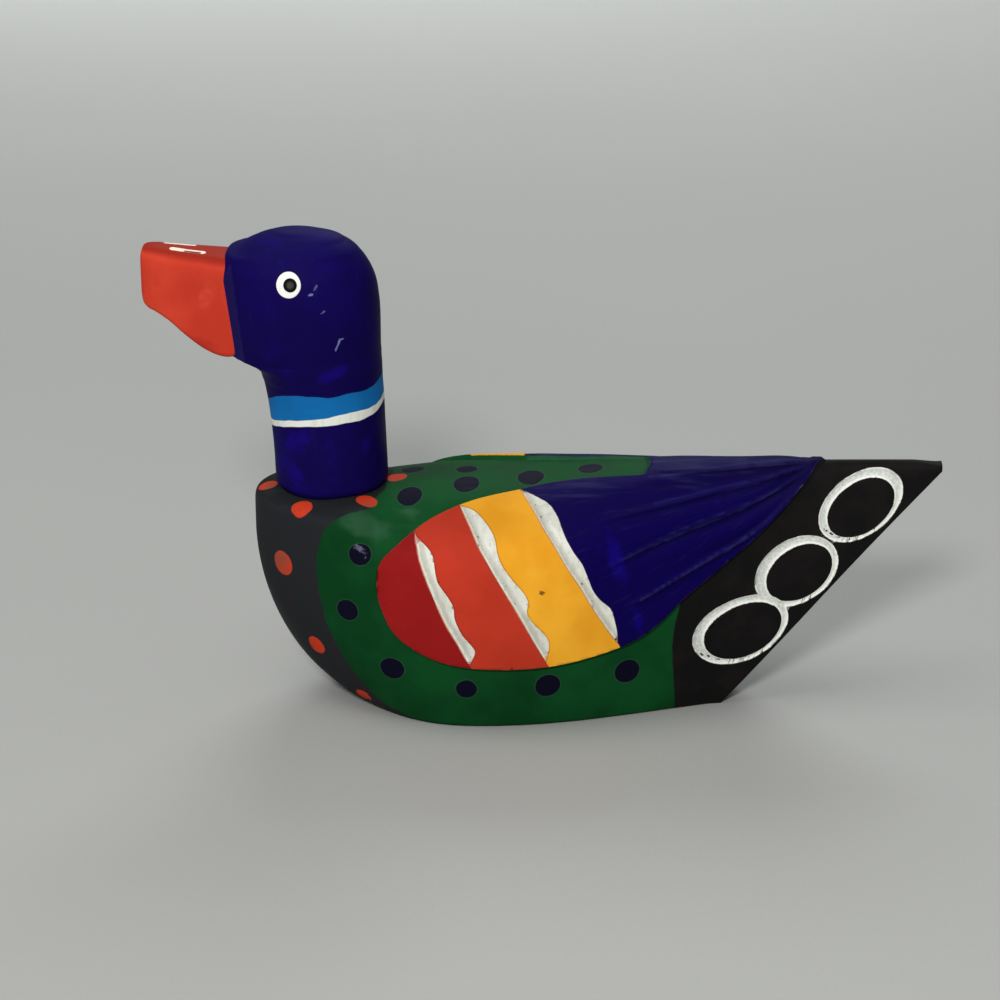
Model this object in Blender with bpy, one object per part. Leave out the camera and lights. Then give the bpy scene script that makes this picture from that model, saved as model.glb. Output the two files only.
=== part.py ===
"""Carved and painted wooden wedding duck: a body with folded wings and a separate head and neck.

The duck faces -X, up is +Z, and it is the same on both sides of the XZ plane.
A point of the body's skin is given by x and by its girth, the way along the
skin from the middle of the back down the side at that x.
"""
import bpy
import bmesh
import math
import numpy as np

# body, metres
BOW_X = -0.0728            # foremost point of the breast
WIDE_X = -0.0183           # where the body is widest
TAIL_X = 0.0978            # end of the tail
HEEL_X = 0.0448            # where the flat base ends and the tail's slant cut begins
TAIL_UNDER_Z = 0.0619      # underside of the tail at its end
HALF_WIDTH = 0.0285        # half of the greatest width
TAIL_HALF = 0.0026         # half thickness of the tail's end
TAPER_POWER = 2.7          # how quickly the plan narrows aft
DECK_X = (-0.0728, -0.016, 0.041, 0.0978)
DECK_Z = (0.0563, 0.0584, 0.0617, 0.0634)
TAIL_LIFT = 0.0006         # the tail's top stands this much over that curve
BOW_DOME = 0.0029          # the deck falls this much from its middle to its edge at the breast
BASE_INSET = 0.0045        # the side comes in this far at the base
INSET_HEIGHT = 0.029
DECK_LEAN = 0.0020         # the side leans in this far at the deck
BOW_BASE = 0.0205          # reach of the base ahead of the widest place, before the soft turn
BOW_FULL_Z = 0.0450        # height where the breast reaches furthest
BOW_TURN = 0.985           # how nearly the breast's curve ends level at the base
SHOULDER = (9.0, 2.3)      # crown powers over the wings: soft shoulder
SHOULDER_BOW = (70.0, 4.5) # crown powers at the breast: crisp deck edge

# wings
WING_PROUD = 0.0014        # height of the wing over the ground beside it
WING_ROOT = 0.0030         # how deep the wing solid runs into the body
SCALLOP_DEPTH = 0.0011     # depth of the stop cuts that end the feather bands
FLUTE_DEPTH = 0.0006       # depth of the long grooves toward the wing tip
STEP_RUN = 0.0003
# each row: upper border x, girth and lower border x, girth, in mm
WING_FRONT = ((-39.6, 33.0, -39.6, 37.0), (-38.8, 29.7, -38.7, 41.2), (-36.3, 27.9, -36.2, 47.7),
              (-33.2, 25.5, -30.4, 53.7))
WING_CUTS = ((-30.7, 23.8, -17.2, 59.3), (-20.2, 18.0, 0.9, 58.8), (-5.5, 12.8, 18.3, 52.2))
CUT_WIDTH = 3.2
WING_FAN = ((7.0, 9.0, 27.5, 45.2), (15.5, 7.6, 33.0, 38.9), (24.0, 6.0, 38.6, 33.1),
            (26.0, 2.6, 44.2, 27.3), (29.0, -0.9, 48.0, 23.7), (40.0, -0.9, 54.0, 17.7),
            (54.0, -0.9, 60.5, 10.6), (67.2, -0.9, 67.9, 1.4))
FAR_LAP = 0.5              # the far wing laps over the middle of the back by this share
WING_ROWS = (0.0, 0.09, 0.20, 0.32, 0.43, 0.53, 0.64, 0.75, 0.87, 1.0)
FLUTES = ((0.20, 0.5), (0.53, 1.0), (0.75, 0.9))

# tail rings, in mm on the unrolled skin: centre x, girth, half axes, tilt of the outer
# rim and of the inner rim, so that each groove is wide ahead and thin behind
RINGS = (((49.2, 45.3, 13.0, 8.6, 31.0), (49.8, 45.5, 10.5, 6.9, 32.0)),
         ((62.8, 29.4, 11.2, 8.6, 35.0), (63.7, 29.9, 9.1, 6.7, 39.0)),
         ((78.1, 12.1, 11.8, 8.0, 41.0), (78.3, 12.9, 9.4, 6.5, 42.0)))
RING_DEPTH = 0.0010
EDGE_BAND = 0.0008         # wood left between a ring and the slant cut

# head and neck
SEAT_GAP = 0.0003          # glue line between neck and deck
SEAT_TILT = 0.035          # slope of the deck under the neck
# height, front x, back x, half width, in mm
HEAD_LEVELS = ((0.0, -66.6, -40.1, 13.4), (1.2, -67.3, -39.4, 14.0), (8.0, -67.6, -39.6, 14.0),
               (16.0, -68.2, -39.9, 14.0), (22.0, -68.9, -40.1, 14.1), (27.5, -70.0, -40.4, 14.3),
               (31.0, -71.2, -40.5, 14.7), (33.0, -74.2, -40.6, 14.9), (33.9, -76.6, -40.6, 15.0),
               (35.5, -77.8, -40.7, 15.2), (42.0, -78.3, -40.7, 15.5), (48.0, -78.6, -41.0, 15.6),
               (53.0, -78.5, -41.9, 15.2), (56.5, -78.3, -43.5, 14.2), (59.2, -77.9, -45.4, 12.4),
               (60.0, -75.7, -46.1, 11.7), (61.9, -72.2, -48.6, 8.9), (63.6, -68.4, -52.2, 5.5),
               (64.5, -64.6, -57.4, 2.8))
HEAD_TOP = (0.0649, -0.0610)
HEAD_BASE_Z = 0.0563
HEAD_BLUNT = 3.6           # power of the front half of the head's level sections
FACET = (-78.3, 7.6, 0.88, 2.8)  # cheek facet, mm: front x, half width there, slope, length
FACET_DRIFT = 0.11
# beak stations: x, half width, underside z, top z, in mm
BEAK = ((-72.0, 8.8, 91.6, 113.7), (-78.0, 7.6, 89.9, 114.8), (-83.0, 6.9, 91.4, 115.3),
        (-88.0, 6.2, 94.8, 115.8), (-92.5, 5.4, 98.5, 116.3), (-95.6, 4.8, 100.4, 116.6),
        (-97.6, 4.2, 101.4, 116.5), (-98.5, 3.5, 102.5, 116.0), (-98.9, 2.7, 104.2, 114.8))
SHIFT_X = 0.00055          # all of the above is moved by this, to centre the duck's length on the origin

STATIONS_BOW = 12
STATION_STEP = 0.0042
DECK_STEPS = 6
EDGE_RUN = 0.0016          # skin either side of the deck's edge that gets its own faces
SIDE_STEPS = 12
HEAD_SIDES = 40

NAVY = (0.012, 0.006, 0.075, 1.0)
GREEN = (0.010, 0.075, 0.020, 1.0)


def ramp(value, low, high):
    """Smooth rise from 0 at low to 1 at high."""
    t = np.clip((value - low) / (high - low), 0, 1)
    return t * t * (3 - 2 * t)


def deck(x):
    c = np.polyfit(DECK_X, DECK_Z, 3)
    return np.polyval(c, x) + TAIL_LIFT * ramp(x, 0.048, 0.070) * ramp(-x, -0.0978, -0.090)


def keel(x):
    return np.maximum(0.0, (x - HEEL_X) * TAIL_UNDER_Z / (TAIL_X - HEEL_X))


def half(x):
    s = np.clip((x - WIDE_X) / (TAIL_X - WIDE_X), 0, 1)
    return TAIL_HALF + (HALF_WIDTH - TAIL_HALF) * np.cos(math.pi * s / 2) ** TAPER_POWER


def reach(z):
    """How far the breast comes forward of the widest place at height z."""
    full = WIDE_X - BOW_X
    t = BOW_TURN * np.clip(1 - z / BOW_FULL_Z, 0, 1)
    return full - (full - BOW_BASE) * (1 - np.sqrt(np.maximum(0, 1 - t ** 1.95)))


def wall(z):
    low = BASE_INSET * np.clip(1 - z / INSET_HEIGHT, 0, 1) ** 1.6
    return low + DECK_LEAN * np.clip((z - INSET_HEIGHT) / 0.038, 0, 1) ** 2


def width(x, z):
    """Half width of the body at x and z."""
    z0, z1 = keel(x), deck(x)
    f = np.clip((z - z0) / (z1 - z0), 0, 1)
    b = ramp(-x, 0.040, 0.058)
    m = SHOULDER[0] + (SHOULDER_BOW[0] - SHOULDER[0]) * b
    q = SHOULDER[1] + (SHOULDER_BOW[1] - SHOULDER[1]) * b
    crown = np.maximum(0, 1 - f ** m) ** (1 / q)
    h = half(x)
    w = np.maximum(h - wall(z) * np.minimum(1, h / 0.012), 0.0004)
    ahead = np.clip((WIDE_X - x) / np.maximum(reach(z) * crown, 1e-9), 0, 1)
    return w * crown * np.sqrt(1 - ahead ** 2)


def section(x):
    """Half section at x from the middle of the back down: girth, y, z."""
    x = float(x)
    z1, z0 = float(deck(x)), float(keel(x))
    z = z1 - (z1 - z0) * np.linspace(0, 1, 900) ** 2.2
    y = width(np.full_like(z, x), z)
    if x < WIDE_X:
        live = np.nonzero(y > 1e-7)[0]
        first, last = max(live[0] - 1, 0), min(live[-1] + 1, len(z) - 1)
        z, y = z[first:last + 1], y[first:last + 1]
        if z[-1] > 2e-5:
            y[-1] = 0
    y[0] = 0
    upper = ramp((z - z0) / (z1 - z0), 0.5, 0.95)
    z = z - BOW_DOME * float(ramp(-x, 0.040, 0.058)) * (y / HALF_WIDTH) ** 2 * upper
    g = np.concatenate([[0], np.cumsum(np.hypot(np.diff(y), np.diff(z)))])
    return g, y, z


def top_z(x, y):
    """Height of the deck at x and y."""
    g, sy, sz = section(x)
    k = int(np.argmax(sy))
    return float(np.interp(abs(y), sy[:k + 1], sz[:k + 1]))


def skin(x, g, out=0.0):
    """Point of the near skin at x and girth g, moved out along the normal."""
    def at(px, pg):
        sg, sy, sz = section(px)
        side = -1.0 if pg >= 0 else 1.0
        return np.array([px, side * np.interp(abs(pg), sg, sy), np.interp(abs(pg), sg, sz)])
    p = at(x, g)
    e = 0.0006
    ahead = at(x - e, g) - at(x + e, g)
    around = at(x, g + e) - at(x, g - e)
    n = np.cross(around, ahead)
    n /= np.linalg.norm(n)
    if n[2] < -0.9 or np.dot(n, (0, p[1], p[2] - 0.03)) < 0:
        n = -n
    return p + n * out


def material(name, color, rough):
    m = bpy.data.materials.new(name)
    m.use_nodes = True
    node = m.node_tree.nodes["Principled BSDF"]
    node.inputs["Base Color"].default_value = color
    node.inputs["Roughness"].default_value = rough
    return m


def make_object(name, verts, faces, where, mat=None):
    bm = bmesh.new()
    made = [bm.verts.new((v[0] + SHIFT_X, v[1], v[2])) for v in verts]
    for f in faces:
        ids = []
        for i in f:
            if i not in ids:
                ids.append(i)
        if len(ids) > 2:
            try:
                bm.faces.new([made[i] for i in ids])
            except ValueError:
                pass
    loose = [v for v in bm.verts if not v.link_faces]
    bmesh.ops.delete(bm, geom=loose, context="VERTS")
    bmesh.ops.recalc_face_normals(bm, faces=bm.faces)
    mesh = bpy.data.meshes.new(name)
    bm.to_mesh(mesh)
    bm.free()
    ob = bpy.data.objects.new(name, mesh)
    where.objects.link(ob)
    if mat:
        mesh.materials.append(mat)
    return ob


def cut(ob, cutter, operation):
    m = ob.modifiers.new(cutter.name, "BOOLEAN")
    m.operation = operation
    m.solver = "EXACT"
    m.object = cutter
    cutter.hide_render = True
    cutter.display_type = "WIRE"


def body_mesh(where, mat):
    # stations crowd at the breast, where the base begins, and at the heel
    base_x = WIDE_X - float(reach(0.0))
    a = np.linspace(0, math.pi / 2, STATIONS_BOW)
    bow = BOW_X + 0.0002 + (base_x - 0.004 - BOW_X) * (1 - np.cos(a))
    turn = base_x + 0.0006 * np.array([-3, 0, 1, 4, 9])
    aft = np.linspace(turn[-1], HEEL_X, round((HEEL_X - turn[-1]) / STATION_STEP) + 1)[1:]
    tail = np.linspace(HEEL_X, TAIL_X, round((TAIL_X - HEEL_X) / STATION_STEP) + 1)[1:]
    xs = np.concatenate([bow, turn, aft, tail])
    verts, near, far = [], [], []
    for k, x in enumerate(xs):
        g, y, z = section(x)
        turned = np.abs(np.diff(z)) > np.abs(np.diff(y))
        edge = g[int(np.argmax(turned))]
        run = min(EDGE_RUN, 0.4 * edge, 0.2 * (g[-1] - edge))
        s = np.concatenate([np.linspace(0, edge - run, DECK_STEPS + 1), [edge],
                            np.linspace(edge + run, g[-1], SIDE_STEPS + 1)])
        ys, zs = np.interp(s, g, y), np.interp(s, g, z)
        if k == 0:
            ys[:] = 0
            x = BOW_X
        nr, fr = [], []
        for yy, zz in zip(ys, zs):
            verts.append((x, -yy, zz))
            nr.append(len(verts) - 1)
            if yy < 1e-7:
                fr.append(nr[-1])
            else:
                verts.append((x, yy, zz))
                fr.append(len(verts) - 1)
        near.append(nr)
        far.append(fr)
    faces = []
    last = DECK_STEPS + SIDE_STEPS + 2
    for i in range(len(xs) - 1):
        for j in range(last):
            faces.append((near[i][j], near[i][j + 1], near[i + 1][j + 1], near[i + 1][j]))
            faces.append((far[i][j], far[i + 1][j], far[i + 1][j + 1], far[i][j + 1]))
        faces.append((near[i][last], far[i][last], far[i + 1][last], near[i + 1][last]))
    for j in range(last):
        faces.append((near[-1][j], near[-1][j + 1], far[-1][j + 1], far[-1][j]))
    return make_object("body", verts, faces, where, mat)


def wing_lines():
    """Cross lines of the wing from its front to its tip, with each line's drop."""
    lines = [(np.array(r) * 0.001, 0.0) for r in WING_FRONT]
    ends = WING_CUTS[1:] + (WING_FAN[0],)
    for row, nxt in zip(WING_CUTS, ends):
        c, n = np.array(row) * 0.001, np.array(nxt) * 0.001
        run = n - c
        share = CUT_WIDTH * 0.001 / run[2]
        lines.append((c, 0.0))
        lines.append((c + run * STEP_RUN / run[2], SCALLOP_DEPTH))
        lines.append((c + run * share, 0.12 * SCALLOP_DEPTH))
        if row is not WING_CUTS[-1]:
            lines.append((c + run * (0.5 + share / 2), 0.0))
    lines += [(np.array(r) * 0.001, 0.0) for r in WING_FAN]
    return lines


def wing(name, mirror, where):
    lines = wing_lines()
    rows = len(WING_ROWS)
    cut_end = WING_CUTS[-1][2] * 0.001
    verts = []
    for layer in (0, 1):
        for (r, drop) in lines:
            for v in WING_ROWS:
                x = r[0] + (r[2] - r[0]) * v
                g = r[1] + (r[3] - r[1]) * v
                edge = min(v, 1 - v)
                fade = min(1.0, edge / 0.06)
                away = min(max((r[2] - cut_end) / 0.012, 0), 1)
                flute = sum(a * math.exp(-((v - c) / 0.055) ** 2) for c, a in FLUTES)
                out = WING_PROUD - drop * fade - FLUTE_DEPTH * flute * away
                if mirror and g < 0:
                    g *= FAR_LAP
                p = skin(x, g, out if layer == 0 else -WING_ROOT)
                if mirror:
                    p[1] = -p[1]
                verts.append(tuple(p))
    n = len(lines)
    faces = []
    at = lambda layer, i, j: (layer * n + i) * rows + j
    for i in range(n - 1):
        for j in range(rows - 1):
            faces.append((at(0, i, j), at(0, i, j + 1), at(0, i + 1, j + 1), at(0, i + 1, j)))
            faces.append((at(1, i, j), at(1, i + 1, j), at(1, i + 1, j + 1), at(1, i, j + 1)))
        for j in (0, rows - 1):
            faces.append((at(0, i, j), at(0, i + 1, j), at(1, i + 1, j), at(1, i, j)))
    for i in (0, n - 1):
        for j in range(rows - 1):
            faces.append((at(0, i, j), at(0, i, j + 1), at(1, i, j + 1), at(1, i, j)))
    return make_object(name, verts, faces, where)


def oval(spec, s, grow):
    cx, cg, a, b, tilt = (v * 0.001 for v in spec)
    t = math.radians(tilt * 1000)
    ca, sb = (a + grow) * math.cos(s), (b + grow) * math.sin(s)
    return np.array([cx + ca * math.cos(t) + sb * math.sin(t), cg - ca * math.sin(t) + sb * math.cos(t)])


def ring(name, rims, mirror, where):
    """Cutter for one gouged ring between its outer and its inner rim."""
    verts, sides, around = [], 4, 27
    for k in range(around):
        s = 2 * math.pi * k / around
        outer, inner = oval(rims[0], s, 0.0), oval(rims[1], s, 0.0)
        w = math.dist(outer, inner)
        depth = min(RING_DEPTH, 0.5 * w)
        over = 0.0004 / w
        for share, out in ((-over, 0.0008), (1 + over, 0.0008), (0.72, -depth), (0.28, -depth)):
            x, g = outer + (inner - outer) * share
            g = min(g, section(x)[0][-1] - EDGE_BAND)
            p = skin(x, g, out)
            if mirror:
                p[1] = -p[1]
            verts.append(tuple(p))
    faces = []
    for k in range(around):
        for j in range(sides):
            n = (k + 1) % around
            m = (j + 1) % sides
            faces.append((k * sides + j, k * sides + m, n * sides + m, n * sides + j))
    return make_object(name, verts, faces, where)


def head_mesh(where, mat):
    z_rows = np.array(HEAD_LEVELS)
    verts, rings = [], []
    for h, front, back, hw in z_rows * 0.001:
        z = HEAD_BASE_Z + h
        cx, ax = (front + back) / 2, (back - front) / 2
        row = []
        share = min(max((h - 0.027) / 0.010, 0), 1)
        blunt = 2.0 + (HEAD_BLUNT - 2.0) * share * min(1, max(0, (0.0646 - h) / 0.012))
        narrow = min(1, hw / 0.0145)
        fx = FACET[0] * 0.001 + (0.112 - z) * FACET_DRIFT
        fend = fx + FACET[3] * 0.001
        side = (FACET[1] + FACET[2] * FACET[3]) * 0.001 * narrow
        for k in range(HEAD_SIDES):
            s = 2 * math.pi * k / HEAD_SIDES
            c, q = math.cos(s), math.sin(s)
            power = 2.0 if c > 0 else blunt
            x = cx + ax * math.copysign(abs(c) ** (2 / power), c)
            y = hw * math.copysign(abs(q) ** (2 / power), q)
            if h > 0.029 and x < cx:
                # a narrow facet beside the beak, then the cheek curves out to the full width
                if x < fend:
                    limit = (FACET[1] * 0.001 + FACET[2] * (x - fx)) * narrow
                else:
                    limit = hw - (hw - side) * ((cx - x) / (cx - fend)) ** 2
                limit += (1 - min(1, (h - 0.029) / 0.004)) * 0.012
                y = math.copysign(min(abs(y), max(limit, 0.0004)), y)
            if h == 0:
                verts.append((x, y, top_z(x, y) + SEAT_GAP))
            else:
                tilt = SEAT_TILT * (x + 0.0535) if h < 0.002 else 0.0
                verts.append((x, y, z + tilt))
            row.append(len(verts) - 1)
        rings.append(row)
    faces = []
    for i in range(len(rings) - 1):
        for k in range(HEAD_SIDES):
            n = (k + 1) % HEAD_SIDES
            faces.append((rings[i][k], rings[i][n], rings[i + 1][n], rings[i + 1][k]))
    # the foot is scribed to the deck: an inner ring and a middle point keep the same gap
    middle = (HEAD_LEVELS[0][1] + HEAD_LEVELS[0][2]) * 0.0005
    inner = []
    for k in rings[0]:
        x, y = middle + (verts[k][0] - middle) * 0.55, verts[k][1] * 0.55
        verts.append((x, y, top_z(x, y) + SEAT_GAP))
        inner.append(len(verts) - 1)
    verts.append((middle, 0.0, top_z(middle, 0.0) + SEAT_GAP))
    foot = len(verts) - 1
    verts.append((HEAD_TOP[1], 0.0, HEAD_BASE_Z + HEAD_TOP[0]))
    crest = len(verts) - 1
    for k in range(HEAD_SIDES):
        n = (k + 1) % HEAD_SIDES
        faces.append((rings[-1][k], rings[-1][n], crest))
        faces.append((rings[0][n], rings[0][k], inner[k], inner[n]))
        faces.append((inner[n], inner[k], foot))
    return make_object("head_and_neck", verts, faces, where, mat)


def beak_mesh(where):
    verts, rows = [], []
    for x, hw, z0, z1 in np.array(BEAK) * 0.001:
        r = min(0.0032, hw * 0.6)
        b = min(0.0016, hw * 0.4)
        half_row = [(0, z1), (hw - r, z1 - 0.0001), (hw - 0.3 * r, z1 - 0.3 * r), (hw - 0.0002, z1 - r),
                    (hw, (z0 + z1) / 2), (hw - 0.0003, z0 + b), (hw - 0.3 * b, z0 + 0.3 * b),
                    (hw - b, z0), (0, z0 - 0.0004)]
        row = [(x, y, z) for y, z in half_row]
        row += [(x, -y, z) for y, z in half_row[-2:0:-1]]
        rows.append(range(len(verts), len(verts) + len(row)))
        verts += row
    faces = []
    n = len(rows[0])
    for i in range(len(rows) - 1):
        for j in range(n):
            m = (j + 1) % n
            faces.append((rows[i][j], rows[i][m], rows[i + 1][m], rows[i + 1][j]))
    faces.append(tuple(rows[0]))
    faces.append(tuple(rows[-1])[::-1])
    return make_object("beak", verts, faces, where)


def shade(ob, degrees):
    for p in ob.data.polygons:
        p.use_smooth = True
    ob.data.set_sharp_from_angle(angle=math.radians(degrees))


def main():
    for ob in list(bpy.data.objects):
        bpy.data.objects.remove(ob, do_unlink=True)
    parts = bpy.data.collections.new("wedding_duck")
    cutters = bpy.data.collections.new("cutters")
    for c in (parts, cutters):
        bpy.context.scene.collection.children.link(c)
    body = body_mesh(parts, material("green_paint", GREEN, 0.45))
    for side in (0, 1):
        cut(body, wing(f"wing_{side}", side, cutters), "UNION")
    for i, spec in enumerate(RINGS):
        for side in (0, 1):
            cut(body, ring(f"ring_{i}_{side}", spec, side, cutters), "DIFFERENCE")
    head = head_mesh(parts, material("navy_paint", NAVY, 0.45))
    cut(head, beak_mesh(cutters), "UNION")
    shade(body, 32)
    shade(head, 32)


main()
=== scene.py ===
import bpy
import bmesh
import math
import numpy as np
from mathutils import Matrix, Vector


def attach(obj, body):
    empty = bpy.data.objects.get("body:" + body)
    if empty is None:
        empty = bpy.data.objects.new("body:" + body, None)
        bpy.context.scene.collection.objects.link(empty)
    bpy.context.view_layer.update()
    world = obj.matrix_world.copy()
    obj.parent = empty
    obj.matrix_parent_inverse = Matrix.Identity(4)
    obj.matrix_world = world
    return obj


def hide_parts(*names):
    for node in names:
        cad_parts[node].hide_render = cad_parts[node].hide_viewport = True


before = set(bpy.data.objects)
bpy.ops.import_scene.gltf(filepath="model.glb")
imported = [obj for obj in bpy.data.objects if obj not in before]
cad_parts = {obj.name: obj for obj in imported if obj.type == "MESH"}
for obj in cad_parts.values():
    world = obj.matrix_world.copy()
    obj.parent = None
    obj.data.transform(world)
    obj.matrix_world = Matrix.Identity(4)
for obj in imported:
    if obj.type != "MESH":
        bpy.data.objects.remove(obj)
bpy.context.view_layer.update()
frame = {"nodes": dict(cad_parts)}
print("frame loaded:", ", ".join(frame["nodes"]))


view = {
    "azimuth": 3.0, "elevation": 21.0, "distance": 0.750, "lens": 108.0, "sensor": 36.0,
    "target": (-0.01085, 0.0, 0.05134),
}
floorLook = {"size": 6.0, "tone": (0.372, 0.377, 0.360), "mottle": 0.035, "grain": 0.03}
lamps = {  # name: place, aims at, size, watts, colour
    "skyPanel": ((-0.50, -0.20, 1.40), (0.0, 0.0, 0.04), 1.0, 8.0, (1.0, 0.99, 0.98)),
    "frontPanel": ((-0.14, -1.27, 0.90), (0.0, 0.0, 0.05), 0.24, 16.0, (1.0, 0.99, 0.98)),
    "backPanel": ((0.2, 2.1, 1.5), (-0.1, 1.5, 0.0), 1.6, 29.0, (0.97, 1.0, 1.0)),
    "farPanel": ((-0.35, 1.25, 0.75), (-0.35, 1.79, 0.03), 0.9, 9.0, (0.97, 1.0, 1.0)),
}
worldLight = {"tone": (0.93, 0.96, 1.0), "strength": 0.22}


def aimAt(thing, place, target):
    thing.location = place
    way = Vector(target) - Vector(place)
    thing.rotation_euler = way.to_track_quat("-Z", "Y").to_euler()


def makeCamera():
    a, e = math.radians(view["azimuth"]), math.radians(view["elevation"])
    back = Vector((math.sin(a) * math.cos(e), -math.cos(a) * math.cos(e), math.sin(e)))
    lensData = bpy.data.cameras.new("photoCamera")
    lensData.lens = view["lens"]
    lensData.sensor_width = view["sensor"]
    lensData.sensor_fit = "HORIZONTAL"
    lensData.clip_start, lensData.clip_end = 0.05, 50.0
    camera = bpy.data.objects.new("photoCamera", lensData)
    bpy.context.scene.collection.objects.link(camera)
    target = Vector(view["target"])
    aimAt(camera, target + back * view["distance"], target)
    bpy.context.scene.camera = camera


def makeLamps():
    for name, (place, target, size, watts, tone) in lamps.items():
        data = bpy.data.lights.new(name, "AREA")
        data.shape = "DISK"
        data.size = size
        data.energy = watts
        data.color = tone
        lamp = bpy.data.objects.new(name, data)
        bpy.context.scene.collection.objects.link(lamp)
        aimAt(lamp, place, target)
    world = bpy.data.worlds.new("studio")
    world.use_nodes = True
    sky = world.node_tree.nodes["Background"]
    sky.inputs["Color"].default_value = worldLight["tone"] + (1.0,)
    sky.inputs["Strength"].default_value = worldLight["strength"]
    bpy.context.scene.world = world


class Wire:
    # a node's output; sums and products of wires add Math nodes to the same material
    def __init__(self, sheet, socket):
        self.sheet, self.socket = sheet, socket

    def pair(self, kind, first, second):
        return self.sheet.add("ShaderNodeMath", {"operation": kind}, {0: first, 1: second})

    def __add__(self, other): return self.pair("ADD", self, other)
    def __radd__(self, other): return self.pair("ADD", other, self)
    def __sub__(self, other): return self.pair("SUBTRACT", self, other)
    def __rsub__(self, other): return self.pair("SUBTRACT", other, self)
    def __mul__(self, other): return self.pair("MULTIPLY", self, other)
    def __rmul__(self, other): return self.pair("MULTIPLY", other, self)
    def __truediv__(self, other): return self.pair("DIVIDE", self, other)
    def higher(self, other): return self.pair("MAXIMUM", self, other)

    def past(self, start, soft):
        # 0 below start - soft/2, 1 above start + soft/2, with a smooth rise between
        return self.spread(start - soft / 2, start + soft / 2)

    def spread(self, low, high, first=0.0, last=1.0):
        return self.sheet.add("ShaderNodeMapRange", {"interpolation_type": "SMOOTHSTEP"},
                              {"Value": self, "From Min": low, "From Max": high,
                               "To Min": first, "To Max": last})


class Sheet:
    # one material's node tree
    def __init__(self, name):
        self.material = bpy.data.materials.new(name)
        self.material.use_nodes = True
        self.tree = self.material.node_tree
        self.shader = self.tree.nodes["Principled BSDF"]
        self.place = self.add("ShaderNodeTexCoord", {}, {}, "Object")

    def add(self, kind, settings, sockets, output=0):
        node = self.tree.nodes.new(kind)
        for key, value in settings.items():
            setattr(node, key, value)
        for key, value in sockets.items():
            self.feed(node.inputs[key], value)
        return Wire(self, node.outputs[output])

    def feed(self, socket, value):
        if isinstance(value, Wire):
            self.tree.links.new(value.socket, socket)
        elif socket.type == "RGBA":
            socket.default_value = tuple(value) + (1.0,)
        else:
            socket.default_value = value

    def trait(self, name):
        # a number stored at each point of the mesh
        settings = {"attribute_type": "GEOMETRY", "attribute_name": name}
        return self.add("ShaderNodeAttribute", settings, {}, "Fac")

    def part(self, axis):
        return self.add("ShaderNodeSeparateXYZ", {}, {"Vector": self.place}, axis)

    def root(self, value):
        return self.add("ShaderNodeMath", {"operation": "SQRT"}, {0: value})

    def size(self, value):
        return self.add("ShaderNodeMath", {"operation": "ABSOLUTE"}, {0: value})

    def noise(self, scale, detail=2.0, rough=0.5, where=None, stretch=None, shift=(0, 0, 0)):
        spot = where or self.place
        if stretch or shift != (0, 0, 0):
            moves = {"Vector": spot, "Scale": stretch or (1, 1, 1), "Location": shift}
            spot = self.add("ShaderNodeMapping", {}, moves, "Vector")
        return self.add("ShaderNodeTexNoise", {}, {"Vector": spot, "Scale": scale, "Detail": detail,
                                                   "Roughness": rough}, 0)

    def blend(self, mask, below, above, way="MIX"):
        # the colour above laid over the colour below where mask is 1
        node = self.tree.nodes.new("ShaderNodeMix")
        node.data_type = "RGBA"
        node.blend_type = way
        node.clamp_factor = True
        self.feed(node.inputs[0], mask)
        self.feed(node.inputs[6], below)
        self.feed(node.inputs[7], above)
        return Wire(self, node.outputs[2])

    def bump(self, height, depth, strength=1.0, onto=None):
        sockets = {"Height": height, "Distance": depth, "Strength": strength}
        if onto:
            sockets["Normal"] = onto
        return self.add("ShaderNodeBump", {}, sockets, "Normal")

    def finish(self, values):
        for key, value in values.items():
            self.feed(self.shader.inputs[key], value)
        return self.material


def tint(red, green, blue):
    # paint colour given as 0..255 screen values
    return tuple(((v / 255 + 0.055) / 1.055) ** 2.4 if v > 10.3 else v / 255 / 12.92
                 for v in (red, green, blue))


def makeFloor():
    s = floorLook["size"]
    mesh = bpy.data.meshes.new("floor")
    mesh.from_pydata([(-s, -s, 0), (s, -s, 0), (s, s, 0), (-s, s, 0)], [], [(0, 1, 2, 3)])
    floor = bpy.data.objects.new("floor", mesh)
    bpy.context.scene.collection.objects.link(floor)
    sheet = Sheet("paleFloor")
    cloud = sheet.noise(2.2, 3.0)
    grain = sheet.noise(900.0, 2.0)
    tone = floorLook["tone"]
    dark = tuple(v * (1 - 2 * floorLook["mottle"]) for v in tone)
    light = tuple(v * (1 + 2 * floorLook["mottle"]) for v in tone)
    colour = sheet.blend(cloud, dark, light)
    speck = sheet.blend(grain, tuple([1 - floorLook["grain"]] * 3), tuple([1 + floorLook["grain"]] * 3))
    colour = sheet.blend(1.0, colour, speck, "MULTIPLY")
    mesh.materials.append(sheet.finish({"Base Color": colour, "Roughness": 0.7, "Specular IOR Level": 0.25,
                                        "Normal": sheet.bump(grain, 0.00012, 0.3)}))


def splined(points, steps=4, closed=False):
    # curve through the points: each span is the cubic whose ends lean toward the points beyond them
    p = np.asarray(points, float)
    if closed:
        p = np.vstack([p[-1], p, p[0], p[1]])
    else:
        p = np.vstack([2 * p[0] - p[1], p, 2 * p[-1] - p[-2]])
    t = np.linspace(0, 1, steps, endpoint=False)[:, None, None]
    a, b, c, d = p[:-3], p[1:-2], p[2:-1], p[3:]
    curve = 0.5 * (2 * b + (c - a) * t + (2 * a - 5 * b + 4 * c - d) * t ** 2
                   + (3 * b - a - 3 * c + d) * t ** 3)
    curve = curve.transpose(1, 0, 2).reshape(-1, p.shape[1])
    return curve if closed else np.vstack([curve, p[-2]])


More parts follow.
